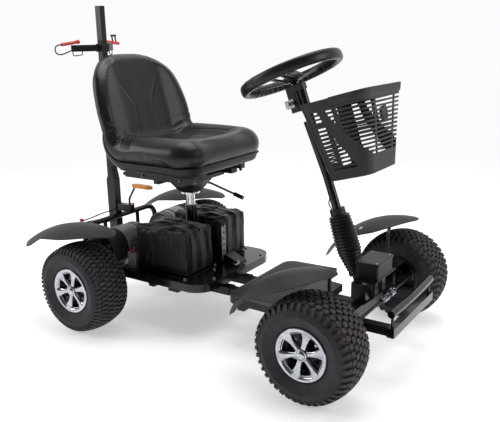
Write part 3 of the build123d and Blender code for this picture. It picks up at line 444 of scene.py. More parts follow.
def make_camera():
    """The photograph's viewpoint, fitted to the wheels: 46.9 mm lens on a 36 mm wide frame."""
    place = Vector((1.37411, -1.90131, 1.04027))
    yaw, pitch, roll = math.radians(123.7095), math.radians(14.9357), math.radians(-1.0924)
    ahead = Vector((math.cos(pitch) * math.cos(yaw), math.cos(pitch) * math.sin(yaw), -math.sin(pitch)))
    right = ahead.cross(UP).normalized()
    above = right.cross(ahead)
    turned = right * math.cos(roll) + above * math.sin(roll)
    top = above * math.cos(roll) - right * math.sin(roll)
    data = bpy.data.cameras.new("photo_camera")
    data.sensor_fit = "HORIZONTAL"
    data.sensor_width = 36.0
    data.lens = 46.866
    data.dof.use_dof = False
    camera = bpy.data.objects.new("photo_camera", data)
    facing = Matrix((turned, top, -ahead)).transposed()
    camera.matrix_world = Matrix.Translation(place) @ facing.to_4x4()
    bpy.context.scene.collection.objects.link(camera)
    bpy.context.scene.camera = camera


def floor_finish():
    """Seamless white paper, fading with distance into an even glow like the backdrop."""
    material, tree, place = start_material("studio_paper")
    away = add_node(tree, "ShaderNodeVectorMath", {"operation": "LENGTH"}, {0: place})
    fade = add_node(tree, "ShaderNodeMapRange", {"interpolation_type": "SMOOTHSTEP"},
                    {"Value": away.outputs["Value"], "From Min": 1.5, "From Max": 4.5})
    grain = add_node(tree, "ShaderNodeTexNoise", None, {"Vector": place, "Scale": 1 / (2 * MM)})
    relief = add_node(tree, "ShaderNodeBump", None,
                      {"Height": grain.outputs["Fac"], "Strength": 0.1, "Distance": 0.05 * MM})
    paper = add_node(tree, "ShaderNodeBsdfPrincipled", None,
                     {"Base Color": colour("#f7f7f8"), "Roughness": 0.6,
                      "Normal": relief.outputs["Normal"],
                      "Specular IOR Level": 0.15, "Emission Color": colour("#f7f7f8"),
                      "Emission Strength": 0.46})
    glow = add_node(tree, "ShaderNodeEmission", None, {"Color": colour("#fbfbfc"), "Strength": 1.0})
    mix = add_node(tree, "ShaderNodeMixShader", None,
                   {0: fade.outputs["Result"], 1: paper.outputs["BSDF"], 2: glow.outputs["Emission"]})
    add_node(tree, "ShaderNodeOutputMaterial", None, {"Surface": mix.outputs["Shader"]})
    return material


def make_floor():
    """A wide pale floor at the tyres' foot."""
    half = 14.0
    mesh = bpy.data.meshes.new("studio_floor")
    mesh.from_pydata([(-half, -half, 0), (half, -half, 0), (half, half, 0), (-half, half, 0)], [],
                     [(0, 1, 2, 3)])
    floor = bpy.data.objects.new("studio_floor", mesh)
    mesh.materials.append(floor_finish())
    bpy.context.scene.collection.objects.link(floor)


def make_light():
    """A white surround with three soft boxes: overhead, from the left and from the front."""
    world = bpy.data.worlds.new("studio_surround")
    world.use_nodes = True
    tree = world.node_tree
    tree.nodes.clear()
    toward = add_node(tree, "ShaderNodeVectorMath", {"operation": "DOT_PRODUCT"},
                      {0: add_node(tree, "ShaderNodeTexCoord").outputs["Generated"],
                       1: (-0.555, 0.832, 0.0)})
    fade = add_node(tree, "ShaderNodeMapRange", {"interpolation_type": "SMOOTHSTEP"},
                    {"Value": toward.outputs["Value"], "From Min": -0.3, "From Max": 0.6,
                     "To Min": 0.10,
                     "To Max": 1.0})
    back = add_node(tree, "ShaderNodeBackground", None,
                    {"Color": colour("#fbfbfc"), "Strength": fade.outputs["Result"]})
    add_node(tree, "ShaderNodeOutputWorld", None, {"Surface": back.outputs["Background"]})
    bpy.context.scene.world = world
    LAMPS = (
        # name, place, width, length, power in watts
        ("overhead_softbox", (0.0, 0.4, 3.2), 2.6, 1.8, 48.0),
        ("left_softbox", (-2.6, -2.2, 1.9), 1.2, 2.2, 40.0),
        ("front_softbox", (3.0, 0.6, 1.6), 1.2, 2.0, 30.0),
    )
    for name, place, width, length, power in LAMPS:
        data = bpy.data.lights.new(name, "AREA")
        data.shape, data.size, data.size_y, data.energy = "RECTANGLE", width, length, power
        lamp = bpy.data.objects.new(name, data)
        lamp.location = place
        aim = Vector((0, 0, 0.45)) - Vector(place)
        lamp.rotation_euler = aim.to_track_quat("-Z", "Y").to_euler()
        bpy.context.scene.collection.objects.link(lamp)
    bpy.context.scene.view_settings.view_transform = "Standard"


# Cords: the same route points as their solids, now smooth lines

POST_X = sum(corner.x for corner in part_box("bag_post")) / 2
POST_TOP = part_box("bag_post")[1].z
CRADLE_Z = POST_TOP - 158.9 * MM
GRIP_X = POST_X - 62 * MM
LOWER_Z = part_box("lower_cradle")[0].z + 10 * MM
LEAN = math.radians(19.2)
COLUMN_TOP = Vector((FRONT_X - 244.8 * MM, 0, 896 * MM))
COLUMN_UP = Vector((-math.sin(LEAN), 0, math.cos(LEAN)))
COLUMN_AHEAD = Vector((math.cos(LEAN), 0, math.sin(LEAN)))
BAG_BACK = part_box("battery_bag_right")[0].x
DECK_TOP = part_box("deck_tray")[1].z
PLUG = Vector((REAR_X + 85 * MM, -200 * MM, DECK_TOP + 62 * MM))


def millimetres(x, y, z, dx=0.0, dy=0.0, dz=0.0):
    """A point offset by millimetres from a place in metres."""
    return (x + dx * MM, y + dy * MM, z + dz * MM)


def make_cord(name, points, diameter):
    """One smooth cord with the route's points as control points."""
    data = bpy.data.curves.new(name, "CURVE")
    data.dimensions = "3D"
    data.bevel_depth = diameter / 2
    data.bevel_resolution = 4
    data.resolution_u = 12
    data.use_fill_caps = True
    spline = data.splines.new("NURBS")
    spline.points.add(len(points) - 1)
    for point, place in zip(spline.points, points):
        point.co = (*place, 1.0)
    spline.order_u = 3
    spline.use_endpoint_u = True
    data.materials.append(MATERIALS["black_cord"])
    cord = bpy.data.objects.new(name + "_line", data)
    bpy.context.scene.collection.objects.link(cord)
    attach(cord, "chassis")
    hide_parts(name)


def make_cords():
    """The elastic loop of the upper cradle, the lower cord, the column's cable and the power lead."""
    loop = [(0, -153.4, 14.6), (0, -172.0, 14.9), (0, -185.1, 5.9), (0, -186.5, -10.0),
            (0, -175.2, -21.3),
            (0, -157.2, -21.9), (1, -134.0, -16.5), (3, -112.0, -8.5)]
    make_cord("upper_bag_cord", [millimetres(GRIP_X, 0, CRADLE_Z, *step) for step in loop],
              5 * MM)
    low = [(-1.0, -17.9, 35.5), (-6.0, -40.0, 36.0), (-15.0, -72.0, 31.0), (-25.5, -107.5, 22.7),
           (-37.1, -142.0, 17.4)]
    make_cord("lower_bag_cord", [millimetres(POST_X, 0, LOWER_Z, *step) for step in low],
              5 * MM)
    cable = [(-399.5, 16.7), (-409.0, 24.0), (-423.0, 24.5), (-433.1, 19.8)]
    make_cord("column_cable", [COLUMN_TOP + COLUMN_UP * along * MM - COLUMN_AHEAD * behind * MM
                               for along, behind in cable], 4 * MM)
    lead = [(PLUG.x, PLUG.y, PLUG.z + 0.3 * MM), millimetres(*PLUG, -1.0, 1.0, 17.0),
            millimetres(*PLUG, 3.0, 19.0, 30.0),
            millimetres(BAG_BACK, PLUG.y, PLUG.z, -2.4, 37.0, 26.0)]
    make_cord("power_lead", lead, 5 * MM)


# Tyres

TYRE_R = 165.0
SHOULDER = 62.0
GROOVE = 6.5


def tread_radius(across):
    """The tread's outer radius at a distance across the tyre, in millimetres."""
    return TYRE_R - 9.0 * (across / SHOULDER) ** 2


def wheel_point(radius, angle, across):
    """A point of a wheel about its own centre, in metres, across positive outboard."""
    return Vector((math.cos(angle) * radius, across, math.sin(angle) * radius)) * MM


def tread_block(shape, outline, angle, across, chamfer=1.2):
    """One block: an outline of (around, across) millimetres about its middle."""
    levels = ((0.0, GROOVE + 1.0), (0.0, chamfer), (chamfer * 0.8, 0.0))
    rings = []
    for inset, drop in levels:
        ring = []
        for around, sideways in outline:
            size = math.hypot(around, sideways)
            keep = 1 - inset / size
            place = across + sideways * keep
            radius = tread_radius(place) - drop
            ring.append(wheel_point(radius, angle + around * keep / TYRE_R, place))
        rings.append(ring)
    shape.rings(rings)


FRONT_BLOCK = ((-10.2, -4.4), (-3.6, -9.2), (7.2, -7.4), (10.5, 3.4), (4.2, 8.9), (-6.6, 7.7))
REAR_BLOCK = ((-5.6, -12.4), (2.2, -11.6), (5.2, -5.0), (6.4, 0.0), (5.2, 5.0), (2.2, 11.6),
              (-5.6, 12.4),
              (-3.8, 5.0), (-3.0, 0.0), (-3.8, -5.0))
# share of the pitch that a shoulder lug fills
SHOULDER_LUG = 0.45


def tread(place):
    """All tread blocks and shoulder lugs of one tyre."""
    shape = Shape()
    count, block, columns, step = {
        "front": (42, FRONT_BLOCK, (-46, -27.6, -9.2, 9.2, 27.6, 46), 0.5),
        "rear": (56, REAR_BLOCK, (-48.0, -24.0, 0, 24.0, 48.0), 0.5),
    }[place]
    for column, across in enumerate(columns):
        for index in range(count):
            angle = math.tau * (index + step * (column % 2)) / count
            flip = -1 if place == "front" and column % 2 else 1
            tread_block(shape, [(around, sideways * flip) for around, sideways in block], angle, across)
    for side in (1, -1):
        for index in range(count):
            angle = math.tau * (index + 0.25) / count
            half = SHOULDER_LUG * math.pi / count
            lean = 0.012 * side
            rings = []
            # across, outer radius and inner radius of the lug's stations down the wall
            for station, (across, outer, inner) in enumerate(
                    ((57.5, 157.5, 150.5), (66.0, 154.5, 147.0), (72.0, 148.5, 143.0),
                     (76.4, 140.0, 137.0))):
                shift = lean * station
                reach = 1.6 if station else 0.0
                rings.append([wheel_point(inner, angle - half + shift, side * (across - 3.0)),
                              wheel_point(outer, angle - half + shift, side * (across + reach * 0.4)),
                              wheel_point(outer, angle + half + shift, side * (across + reach * 0.4)),
                              wheel_point(inner, angle + half + shift, side * (across - 3.0))])
            shape.rings(rings)
    return shape


WALL = (
    # radius, distance across from the middle: bead, rim guard, bulge, shoulder and groove floor
    (84.2, 58.0), (84.6, 62.5), (88.0, 66.0), (91.5, 66.6), (93.0, 67.8), (96.0, 68.6), (104.0, 73.2),
    (112.0, 76.6), (118.0, 77.9), (119.0, 78.7), (121.5, 78.8), (122.5, 78.2), (130.0, 77.2),
    (137.0, 74.6),
    (143.0, 70.6), (148.2, 64.0), (150.8, 58.0),
)


def carcass():
    """The tyre's walls and groove floor, turned about its axle."""
    shape = Shape()
    floor = [(tread_radius(across) - GROOVE, across)
             for across in (48, 36, 24, 12, 0, -12, -24, -36, -48)]
    outer = [*WALL, *floor, *[(radius, -across) for radius, across in reversed(WALL)]]
    shape.lathe((0, 0, 0), ACROSS, mm(*outer, (82.0, -50), (82.0, 50)), steps=96, closed=True)
    return shape


def make_tyres():
    """Carcass and tread for the four wheels, the right ones turned half round."""
    for place, axle_x in (("front", FRONT_X), ("rear", REAR_X)):
        for side_name, side in SIDES:
            body = f"wheel_{place}_{side_name}"
            centre = Vector((axle_x, side * HALF_TRACK, AXLE_Z))
            turn = Matrix.Translation(centre) @ Matrix.Rotation(0 if side > 0 else math.pi, 4, "Z")
            for part, finish, shape in (("carcass", "turf_rubber", carcass()),
                                        ("tread", "tread", tread(place))):
                shape.points = [turn @ point for point in shape.points]
                replaced = (f"tyre_{place}_{side_name}",) if part == "carcass" else ()
                shape.save(f"tyre_{part}_{place}_{side_name}", finish, body, "turf_rubber",
                           replaces=replaced)
            if place == "rear":
                line = Shape()
                radius = 152.6 * MM
                ring = [centre + Vector((math.cos(angle) * radius, side * 68.6 * MM,
                                         math.sin(angle) * radius))
                        for angle in (math.tau * step / 96 for step in range(96))]
                line.tube(ring, 0.7 * MM, steps=6, closed=True)
                line.save(f"shoulder_line_{side_name}", "blue_line", body, "turf_rubber")


# Wheel covers


def make_covers():
    """Six-spoke chrome covers with a dished ring, tapered spokes and a round cap."""
    for place, axle_x in (("front", FRONT_X), ("rear", REAR_X)):
        for side_name, side in SIDES:
            body = f"wheel_{place}_{side_name}"
            shape = Shape()
            centre = Vector((axle_x, side * HALF_TRACK, AXLE_Z))
            axis = Vector((0, side, 0))
            ring = ((83.0, 61.6), (83.2, 65.5), (81.0, 68.2), (76.0, 68.4), (70.0, 66.0), (66.5, 62.0),
                    (65.5, 50.0), (62.0, 34.0), (60.5, 33.0), (63.8, 50.0), (64.5, 60.0), (76.0, 62.0))
            shape.lathe(centre, axis, mm(*ring), steps=96, closed=True)
            cap = ((0.5, 71.5), (6.0, 71.2), (11.0, 70.0), (14.0, 67.8), (14.6, 65.8), (16.2, 66.6),
                   (19.0, 65.6), (20.5, 62.0), (20.0, 40.0), (0.5, 40.0))
            shape.lathe(centre, axis, mm(*cap), steps=48)
            for spoke in range(6):
                angle = math.tau * (spoke + 0.25) / 6
                out = Vector((math.cos(angle), 0, math.sin(angle)))
                over = axis.cross(out)
                rings = []
                # distance out, half width, height of the face, depth of the sides
                for reach, half, face, depth in ((15.0, 8.6, 62.5, 11.0), (26.0, 8.4, 61.8, 12.0),
                                                 (42.0, 9.6, 62.4, 12.0), (55.0, 12.0, 64.0, 11.0),
                                                 (64.0, 16.0, 65.6, 10.0), (70.0, 20.0, 66.8, 8.0),
                                                 (74.5, 24.0, 67.4, 5.5)):
                    section = ((-half, -depth), (-half + 0.6, -2.4), (-half * 0.7, -0.2), (0.0, 1.0),
                               (half * 0.7, -0.2), (half - 0.6, -2.4), (half, -depth))
                    rings.append([centre + out * reach * MM + over * sideways * MM
                                  + axis * (face + lift) * MM
                                  for sideways, lift in section])
                shape.rings(rings)
            shape.save(f"spoke_cover_{place}_{side_name}", "chrome_cover", body, "chrome_cover",
                       sharp=42,
                       bevel=0.5 * MM, replaces=(f"wheel_cover_{place}_{side_name}",))
            nuts = Shape()
            for nut in range(4):
                angle = math.tau * (nut + 0.4) / 4
                out = Vector((math.cos(angle), 0, math.sin(angle)))
                nuts.lathe(centre + out * 44 * MM + axis * 27 * MM, axis,
                           mm((0.4, 14), (6, 13), (9, 8), (9, 0)), steps=6)
            nuts.save(f"wheel_nuts_{place}_{side_name}", "zinc_rod", body, "zinc_rod", sharp=25)


# CAD nodes that keep their shape get their finish here

def finish_nodes():
    """Every CAD node that shows takes the material of its slot, by name or by place."""
    slots = {part["node"]: part["material_slot"] for part in frame["record"]["subparts"]}
    special = {"drive_unit_left": "motor_black", "drive_unit_right": "motor_black",
               "rear_axle": "bare_steel",
               "key_switch": "zinc_rod", "steering_column": "gloss_black", "column_head": "gloss_black",
               "bumper": "gloss_black", "rear_hoop": "gloss_black", "seat_post": "gloss_black",
               "battery_strap": "motor_grey", "tie_rod": "black_powder"}
    # node: the height that parts the finishes, in metres, and the finish below and above it
    parted = {"freewheel_lever": (0.456, "black_plastic", "orange_plastic"),
              "seat_swivel": (0.4765, "bright_collar", "black_powder")}
    for name, node in frame["nodes"].items():
        node.data.materials.clear()
        height, below, above = parted.get(name, (0, None, special.get(name, slots[name])))
        node.data.materials.append(MATERIALS[above])
        if below:
            node.data.materials.append(MATERIALS[below])
            for face in node.data.polygons:
                face.material_index = 0 if face.center.z > height else 1


# Helpers for modelled skins


def chain(points, steps):
    """A smooth line through the points, as vectors of their own size."""
    points = [Vector(point) for point in points]
    line = []
    for index in range(len(points) - 1):
        before, start = points[max(index - 1, 0)], points[index]
        end, after = points[index + 1], points[min(index + 2, len(points) - 1)]
        for step in range(steps):
            share = step / steps
            line.append(0.5 * (2 * start + (end - before) * share
                               + (2 * before - 5 * start + 4 * end - after)
                               * share ** 2 + (3 * start - before - 3 * end + after) * share ** 3))
    return line + [points[-1]]


def blend(start, end, share):
    """Goes from start to end with the share."""
    return start + (end - start) * share


def ease(low, high, value):
    """A smooth step from 0 at low to 1 at high."""
    share = min(max((value - low) / (high - low), 0.0), 1.0)
    return share * share * (3 - 2 * share)


def round_off(distance, radius):
    """Height share of a rounded edge: 0 at the edge, 1 from the radius on."""
    near = min(max(distance / radius, 0.0), 1.0)
    return math.sqrt(1 - (1 - near) ** 2)


def tree_of(mesh):
    """A search tree of a mesh in the row frame."""
    return BVHTree.FromPolygons([v.co for v in mesh.vertices],
                                [tuple(p.vertices) for p in mesh.polygons])


def apply_modifiers(thing):
    """Bakes an object's modifiers into its mesh."""
    graph = bpy.context.evaluated_depsgraph_get()
    made = bpy.data.meshes.new_from_object(thing.evaluated_get(graph))
    thing.modifiers.clear()
    thing.data = made


def cloth_skin(name, shape, voxel, pressure, cap, frames, held=None):
    """Swells a closed shape as cloth and smooths its mesh; held(point) keeps points in place."""
    mesh = bpy.data.meshes.new(name)
    mesh.from_pydata([tuple(point) for point in shape.points], [], shape.faces)
    thing = bpy.data.objects.new(name, mesh)
    bpy.context.scene.collection.objects.link(thing)
    turn_outward(mesh)
    remesh = thing.modifiers.new("even_mesh", "REMESH")
    remesh.mode, remesh.voxel_size = "VOXEL", voxel
    apply_modifiers(thing)
    rest = [vertex.co.copy() for vertex in thing.data.vertices]
    cloth = thing.modifiers.new("cloth", "CLOTH")
    cloth.settings.quality = 5
    cloth.settings.use_pressure = True
    cloth.settings.uniform_pressure_force = pressure
    cloth.settings.effector_weights.gravity = 0
    if held:
        pins = thing.vertex_groups.new(name="held")
        pins.add([vertex.index for vertex in thing.data.vertices if held(vertex.co)], 1.0,
                 "REPLACE")
        cloth.settings.vertex_group_mass = "held"
    for frame_number in range(1, frames + 1):
        bpy.context.scene.frame_set(frame_number)
    apply_modifiers(thing)
    bpy.context.scene.frame_set(1)
    for vertex, start in zip(thing.data.vertices, rest):
        moved = vertex.co - start
        if moved.length > cap:
            vertex.co = start + moved * (cap / moved.length)
    smooth = thing.modifiers.new("smooth", "SUBSURF")
    smooth.levels = 1
    apply_modifiers(thing)
    made = thing.data
    bpy.data.objects.remove(thing)
    return made


def press(mesh, lines, width, depth):
    """Presses channels into a skin along lines of points; width is the bell's half width."""
    points = [point for line in lines for point in line]
    tree = KDTree(len(points))
    for index, point in enumerate(points):
        tree.insert(point, index)
    tree.balance()
    normals = [vertex.normal.copy() for vertex in mesh.vertices]
    for vertex, normal in zip(mesh.vertices, normals):
        distance = tree.find(vertex.co)[2]
        if distance < 3 * width:
            vertex.co -= normal * depth * math.exp(-(distance / width) ** 2)


def on_skin(tree, line, lift=0.0):
    """Moves a line's points to the nearest points of a skin."""
    laid = []
    for point in line:
        place, normal = tree.find_nearest(point)[:2]
        laid.append(place + normal * lift)
    return laid


# Seat: a bucket whose rings follow an L-shaped line from the cushion's front to the back's top.
# Its own measures are millimetres about the post's axis.

SEAT_X = joint_place("seat_turn").x
CUSHION_LINE = 594.0
CUSHION_FRONT = 200.0
CUSHION_CORNER = 90.0
CUSHION_HALF = 248.0
BEND = (-123.0, 738.0)
BACK_FOOT = (-194.0, 640.0)
BACK_LEAN = 16.0
BACK_LOW = 75.0
BACK_HIGH = 368.0
BACK_OUTLINE = ((246, 145), (243, 170), (238, 200), (228, 240), (212, 278), (187, 309), (150, 338),
                (106, 356),
                (55, 366), (0, 368))
BACK_EDGE = chain([(half, height, 0) for half, height in BACK_OUTLINE], 14)


def seat_ring(s):
    """Origin, normal, bend share and half width at s: 0 to 1 cushion, 1 to 2 bend, 2 to 3 back."""
    if s < 1:
        x = blend(CUSHION_FRONT, BEND[0], s)
        over = max(x - (CUSHION_FRONT - CUSHION_CORNER), 0.0)
        half = CUSHION_HALF - CUSHION_CORNER + math.sqrt(max(CUSHION_CORNER ** 2 - over ** 2, 0.0))
        return (x, CUSHION_LINE), 90.0, 0.0, half
    if s < 2:
        share = s - 1
        angle = blend(90.0, BACK_LEAN, share)
        reach = blend(144.0, 95.2, share) + 5.0 * math.sin(math.pi * share)
        turn = math.radians(angle)
        return (BEND[0] - math.cos(turn) * reach, BEND[1] - math.sin(turn) * reach), angle, share, \
            blend(CUSHION_HALF, 246.0, share)
    height = blend(BACK_LOW, BACK_HIGH, s - 2)
    turn = math.radians(BACK_LEAN)
    half = 246.0
    if height > BACK_EDGE[0].y:
        for below, above in zip(BACK_EDGE, BACK_EDGE[1:]):
            if below.y <= height <= above.y:
                half = blend(below.x, above.x, (height - below.y) / (above.y - below.y))
                break
    return (BACK_FOOT[0] - math.sin(turn) * height,
            BACK_FOOT[1] + math.cos(turn) * height), BACK_LEAN, 1.0, half


def edge_distance(s, across, inset=0.0):
    """Distance in millimetres from the seat's outline, less an inset."""
    across = abs(across)
    if s < 1:
        x = blend(CUSHION_FRONT, BEND[0], s)
        over_x = x - (CUSHION_FRONT - CUSHION_CORNER)
        over_y = across - (CUSHION_HALF - CUSHION_CORNER)
        if over_x > 0 and over_y > 0:
            return CUSHION_CORNER - math.hypot(over_x, over_y) - inset
        return min(CUSHION_FRONT - x, CUSHION_HALF - across) - inset
    if s < 2:
        return seat_ring(s)[3] - across - inset
    height = blend(BACK_LOW, BACK_HIGH, s - 2)
    if height < BACK_EDGE[0].y:
        return seat_ring(s)[3] - across - inset
    return min(math.hypot(point.x - across, point.y - height) for point in BACK_EDGE) - inset


def seat_point(s, across, depth):
    """A point of the row frame at depth along the sitter's side from the ring's origin."""
    (x, z), angle = seat_ring(s)[:2]
    turn = math.radians(angle)
    return Vector((SEAT_X + (x + math.cos(turn) * depth) * MM, across * MM,
                   (z + math.sin(turn) * depth) * MM))


def middle_depth(share, across):
    """Depth of the seat's rim, wrapping forward to the sides of the back."""
    cushion = 54.0
    back = -13.0 + 41.0 * (across / 248.0) ** 2
    return blend(cushion, back, share)


def upper_rise(s, share, across):
    """How far the sitter's side stands above the rim."""
    across = abs(across)
    bolster = ease(112.0, 188.0, across)
    x = blend(CUSHION_FRONT, BEND[0], s) if s < 1 else BEND[0]
    roll = ease(50.0, 150.0, x)
    cushion = blend(blend(16.0, 46.0, roll), 57.0, bolster)
    fade = 1 - ease(0.78, 1.0, s - 2)
    back = blend(33.0, 27.0 + 9.0 * bolster * fade, ease(20.0, 130.0, across))
    return blend(cushion, back, share)


def seat_depth(s, across):
    """Depth of the sitter's side."""
    share = seat_ring(s)[2]
    radius = blend(62.0, 44.0, share)
    rounded = round_off(edge_distance(s, across), radius)
    return middle_depth(share, across) + upper_rise(s, share, across) * rounded


def seat_stations(inset=0.0):
    """Ring positions, closer together at the rounded ends."""
    steps = []
    span = CUSHION_FRONT - BEND[0]
    steps += [(60.0 * (1 - math.cos(math.radians(angle))) + 0.4 + inset) / span
              for angle in range(6, 90, 9)]
    start = (61.0 + inset) / span
    steps += [blend(start, 1.0, i / 32) for i in range(32)]
    steps += [1 + i / 34 for i in range(34)]
    low = (BACK_EDGE[0].y - BACK_LOW) / (BACK_HIGH - BACK_LOW)
    steps += [2 + low * i / 9 for i in range(9)]
    rise = BACK_HIGH - BACK_LOW
    steps += [2 + (point.y - BACK_LOW) / rise for point in BACK_EDGE[::3] if point.y < BACK_HIGH - 0.4]
    return steps


def seat_shape(top, bottom, inset, count):
    """A closed skin from two depth functions of (s, across)."""
    shape = Shape()
    rings = []
    for s in seat_stations(inset):
        half = seat_ring(s)[3] - inset
        half = max(half, 2.0)
        shares = [math.sin(math.pi / 2 * (2 * i / count - 1)) for i in range(count + 1)]
        ring = [seat_point(s, share * half, top(s, share * half)) for share in shares]
        ring += [seat_point(s, share * half, bottom(s, share * half))
                 for share in reversed(shares[1:-1])]
        rings.append(ring)
    shape.rings(rings)
    return shape


def cushion_under(s, across):
    """Depth of the upholstery's hidden side."""
    share = seat_ring(s)[2]
    drop = blend(40.0, 12.0, share)
    rounded = round_off(edge_distance(s, across), blend(22.0, 12.0, share))
    return middle_depth(share, across) - drop * rounded


SHELL_INSET = 11.0


def shell_top(s, across):
    """Depth of the moulded shell's inner side."""
    share = seat_ring(s)[2]
    lift = 5.0 * round_off(edge_distance(s, across, SHELL_INSET), 4.0)
    return middle_depth(share, across) - blend(39.0, 10.0, share) + lift


def shell_under(s, across):
    """Depth of the moulded shell's outer side."""
    share = seat_ring(s)[2]
    deep = blend(28.7, blend(23.0, 12.0, (across / 248.0) ** 2), share)
    return middle_depth(share, across) - blend(39.0, 10.0, share) \
        - deep * round_off(edge_distance(s, across, SHELL_INSET), 16.0)


PLEATS = (0.875, 0.91, 0.945, 0.98)
BACK_PLEATS = (1.92, 2.06)
PANEL_SEAM = ((105, 2.94), (112, 2.74), (96, 2.57), (50, 2.32), (54, 2.10), (62, 1.80))
HORSESHOE = ((150, 1.10), (154, 0.80), (158, 0.52), (150, 0.30), (118, 0.19), (60, 0.155), (0, 0.15))


def seat_line(points):
    """A seam on the sitter's side through (across, s) pairs."""
    return [seat_point(spot.y, spot.x, seat_depth(spot.y, spot.x))
            for spot in chain([(across, s, 0) for across, s in points], 24)]


def make_seat():
    """Upholstery, its seams, pleats and piping, and the moulded shell below."""
    skin = cloth_skin("seat_upholstery", seat_shape(seat_depth, cushion_under, 0.0, 72), 7 * MM, 3.0,
                      4 * MM, 14)
    seams, darts, pleats = [], [], []
    for _, side in SIDES:
        seams.append(seat_line([(side * across, s) for across, s in PANEL_SEAM]))
        seams.append(seat_line([(side * across, s) for across, s in HORSESHOE]))
        darts.append(seat_line([(side * 98, 2.58), (side * 74, 2.45), (side * 50, 2.31)]))
        darts.append(seat_line([(side * 157, 0.40), (side * 176, 0.27), (side * 188, 0.20)]))
        for s in PLEATS:
            pleats.append(seat_line([(side * 130, s + 0.030), (side * 158, s + 0.012), (side * 200, s),
                                     (side * 243, s - 0.008)]))
        for s in BACK_PLEATS:
            pleats.append(seat_line([(side * 150, s), (side * 190, s + 0.01), (side * 240, s + 0.02)]))
    press(skin, pleats, 3.2 * MM, 4.5 * MM)
    press(skin, seams, 3.4 * MM, 3.0 * MM)
    press(skin, darts, 5.0 * MM, 2.6 * MM)
    crease = seat_line([(-238, 1.30), (-200, 1.34), (-118, 1.42), (0, 1.46), (118, 1.42), (200, 1.34),
                        (238, 1.30)])
    press(skin, [crease], 7 * MM, 5.0 * MM)
    seat = bpy.data.objects.new("seat_upholstery", skin)
    dress(seat, "black_vinyl", "seat", sharp=75, replaces=("seat",))
    tree = tree_of(skin)
    seam_piping = Shape()
    for line in seams:
        seam_piping.tube(on_skin(tree, line[::2], -0.7 * MM), 0.9 * MM, steps=6)
    seam_piping.save("seat_seam_piping", "black_plastic", "seat", "black_vinyl")
    rim = []
    stations = [i / 60 for i in range(3, 180)]
    for side in (-1, 1):
        rim.append([seat_point(s, side * (seat_ring(s)[3] - SHELL_INSET + 2.0),
                               middle_depth(seat_ring(s)[2], seat_ring(s)[3])
                               - blend(37.0, 9.0, seat_ring(s)[2]))
                    for s in stations])
    piping = Shape()
    loop = rim[0] + list(reversed(rim[1]))
    piping.tube(loop, 2.2 * MM, steps=8, closed=True)
    piping.save("seat_edge_piping", "black_plastic", "seat", "black_vinyl")
    shell = seat_shape(shell_top, shell_under, SHELL_INSET, 48)
    shell.save("seat_shell", "black_plastic", "seat", "black_plastic", sharp=50, replaces=("seat_pan",))
    eyelet = Shape()
    middle = seat_point(1.72, 0, seat_depth(1.72, 0))
    face = tree.find_nearest(middle)[1]
    ring = mm((4.5, -2), (4.5, 0.8), (6, 1.6), (8.5, 0.8), (9, -1))
    eyelet.lathe(middle, face, ring, steps=28, closed=True)
    eyelet.lathe(middle, face, mm((0.3, 0.1), (4.6, 0.1), (4.6, -1.5), (0.3, -1.5)), steps=20)
    eyelet.save("seat_drain_eyelet", "black_plastic", "seat", "black_plastic")


# Battery bags: nylon over a box, with folds, piping and webbing

# millimetres that the cloth swells by, and that its folds reach
SWELLING = 5.0
FOLD_DEPTH = 10.0


def bag_point(share, low, size, middle):
    """A point of the folded box at its share of the way from low to high."""
    place = Vector([low[n] + size[n] * share[n] for n in range(3)])
    out = place - middle
    away = Vector([out[n] / size[n] * 2 for n in range(3)])
    power = Vector([away[n] ** 9 for n in range(3)])
    push = power.normalized()
    side_fold = noise.noise(Vector((place.x * 42, place.y * 42, place.z * 7 + 3.1)))
    side_fold += 0.5 * noise.noise(Vector((place.x * 90, place.y * 90, place.z * 14)))
    top_fold = noise.noise(Vector((place.x * 26, place.y * 40, place.z * 20 + 9.7)))
    crossing = Vector((place.x * 60 + place.y * 30, place.y * 60, 1.7))
    top_fold += 0.6 * abs(noise.noise(crossing))
    amount = blend(side_fold, top_fold, ease(0.86, 1.0, share.z))
    keep = ease(0.0, 0.18, share.z)
    sag = 5.0 * MM * ease(0.8, 1.0, share.z) * (away.x ** 2 + away.y ** 2)
    shrink = SWELLING * MM
    return place - push * shrink + push * amount * keep * FOLD_DEPTH * MM - Vector((0, 0, sag))


def bag_shape(low, high):
    """A box shrunk by the swelling, with folds: upright on the sides, crossing on the top."""
    shape = Shape()
    counts = (26, 18, 18)
    size = high - low
    middle = (low + high) / 2
    folded = {}
    for axis in range(3):
        for end in (0, 1):
            first, second = [other for other in range(3) if other != axis]
            grid = []
            for i in range(counts[first] + 1):
                row = []
                for j in range(counts[second] + 1):
                    key = [0, 0, 0]
                    key[axis] = end * counts[axis]
                    key[first], key[second] = i, j
                    row.append(tuple(key))
                grid.append(row)
            for i in range(counts[first]):
                for j in range(counts[second]):
                    face = (grid[i][j], grid[i + 1][j], grid[i + 1][j + 1], grid[i][j + 1])
                    indices = []
                    for key in face:
                        if key not in folded:
                            share = Vector([key[n] / counts[n] for n in range(3)])
                            folded[key] = len(shape.points)
                            shape.points.append(bag_point(share, low, size, middle))
                        indices.append(folded[key])
                    shape.faces.append(tuple(indices))
    return shape


def ribbon(shape, path, side, width, thickness):
    """A flat strap along a path, its width along side."""
    path = [Vector(point) for point in path]
    rings = []
    for index, point in enumerate(path):
        along = (path[min(index + 1, len(path) - 1)] - path[max(index - 1, 0)]).normalized()
        across = (Vector(side) - along * Vector(side).dot(along)).normalized()
        over = along.cross(across) * thickness / 2
        across = across * width / 2
        rings.append([point - across - over, point + across - over, point + across + over,
                      point - across + over])
    shape.rings(rings)


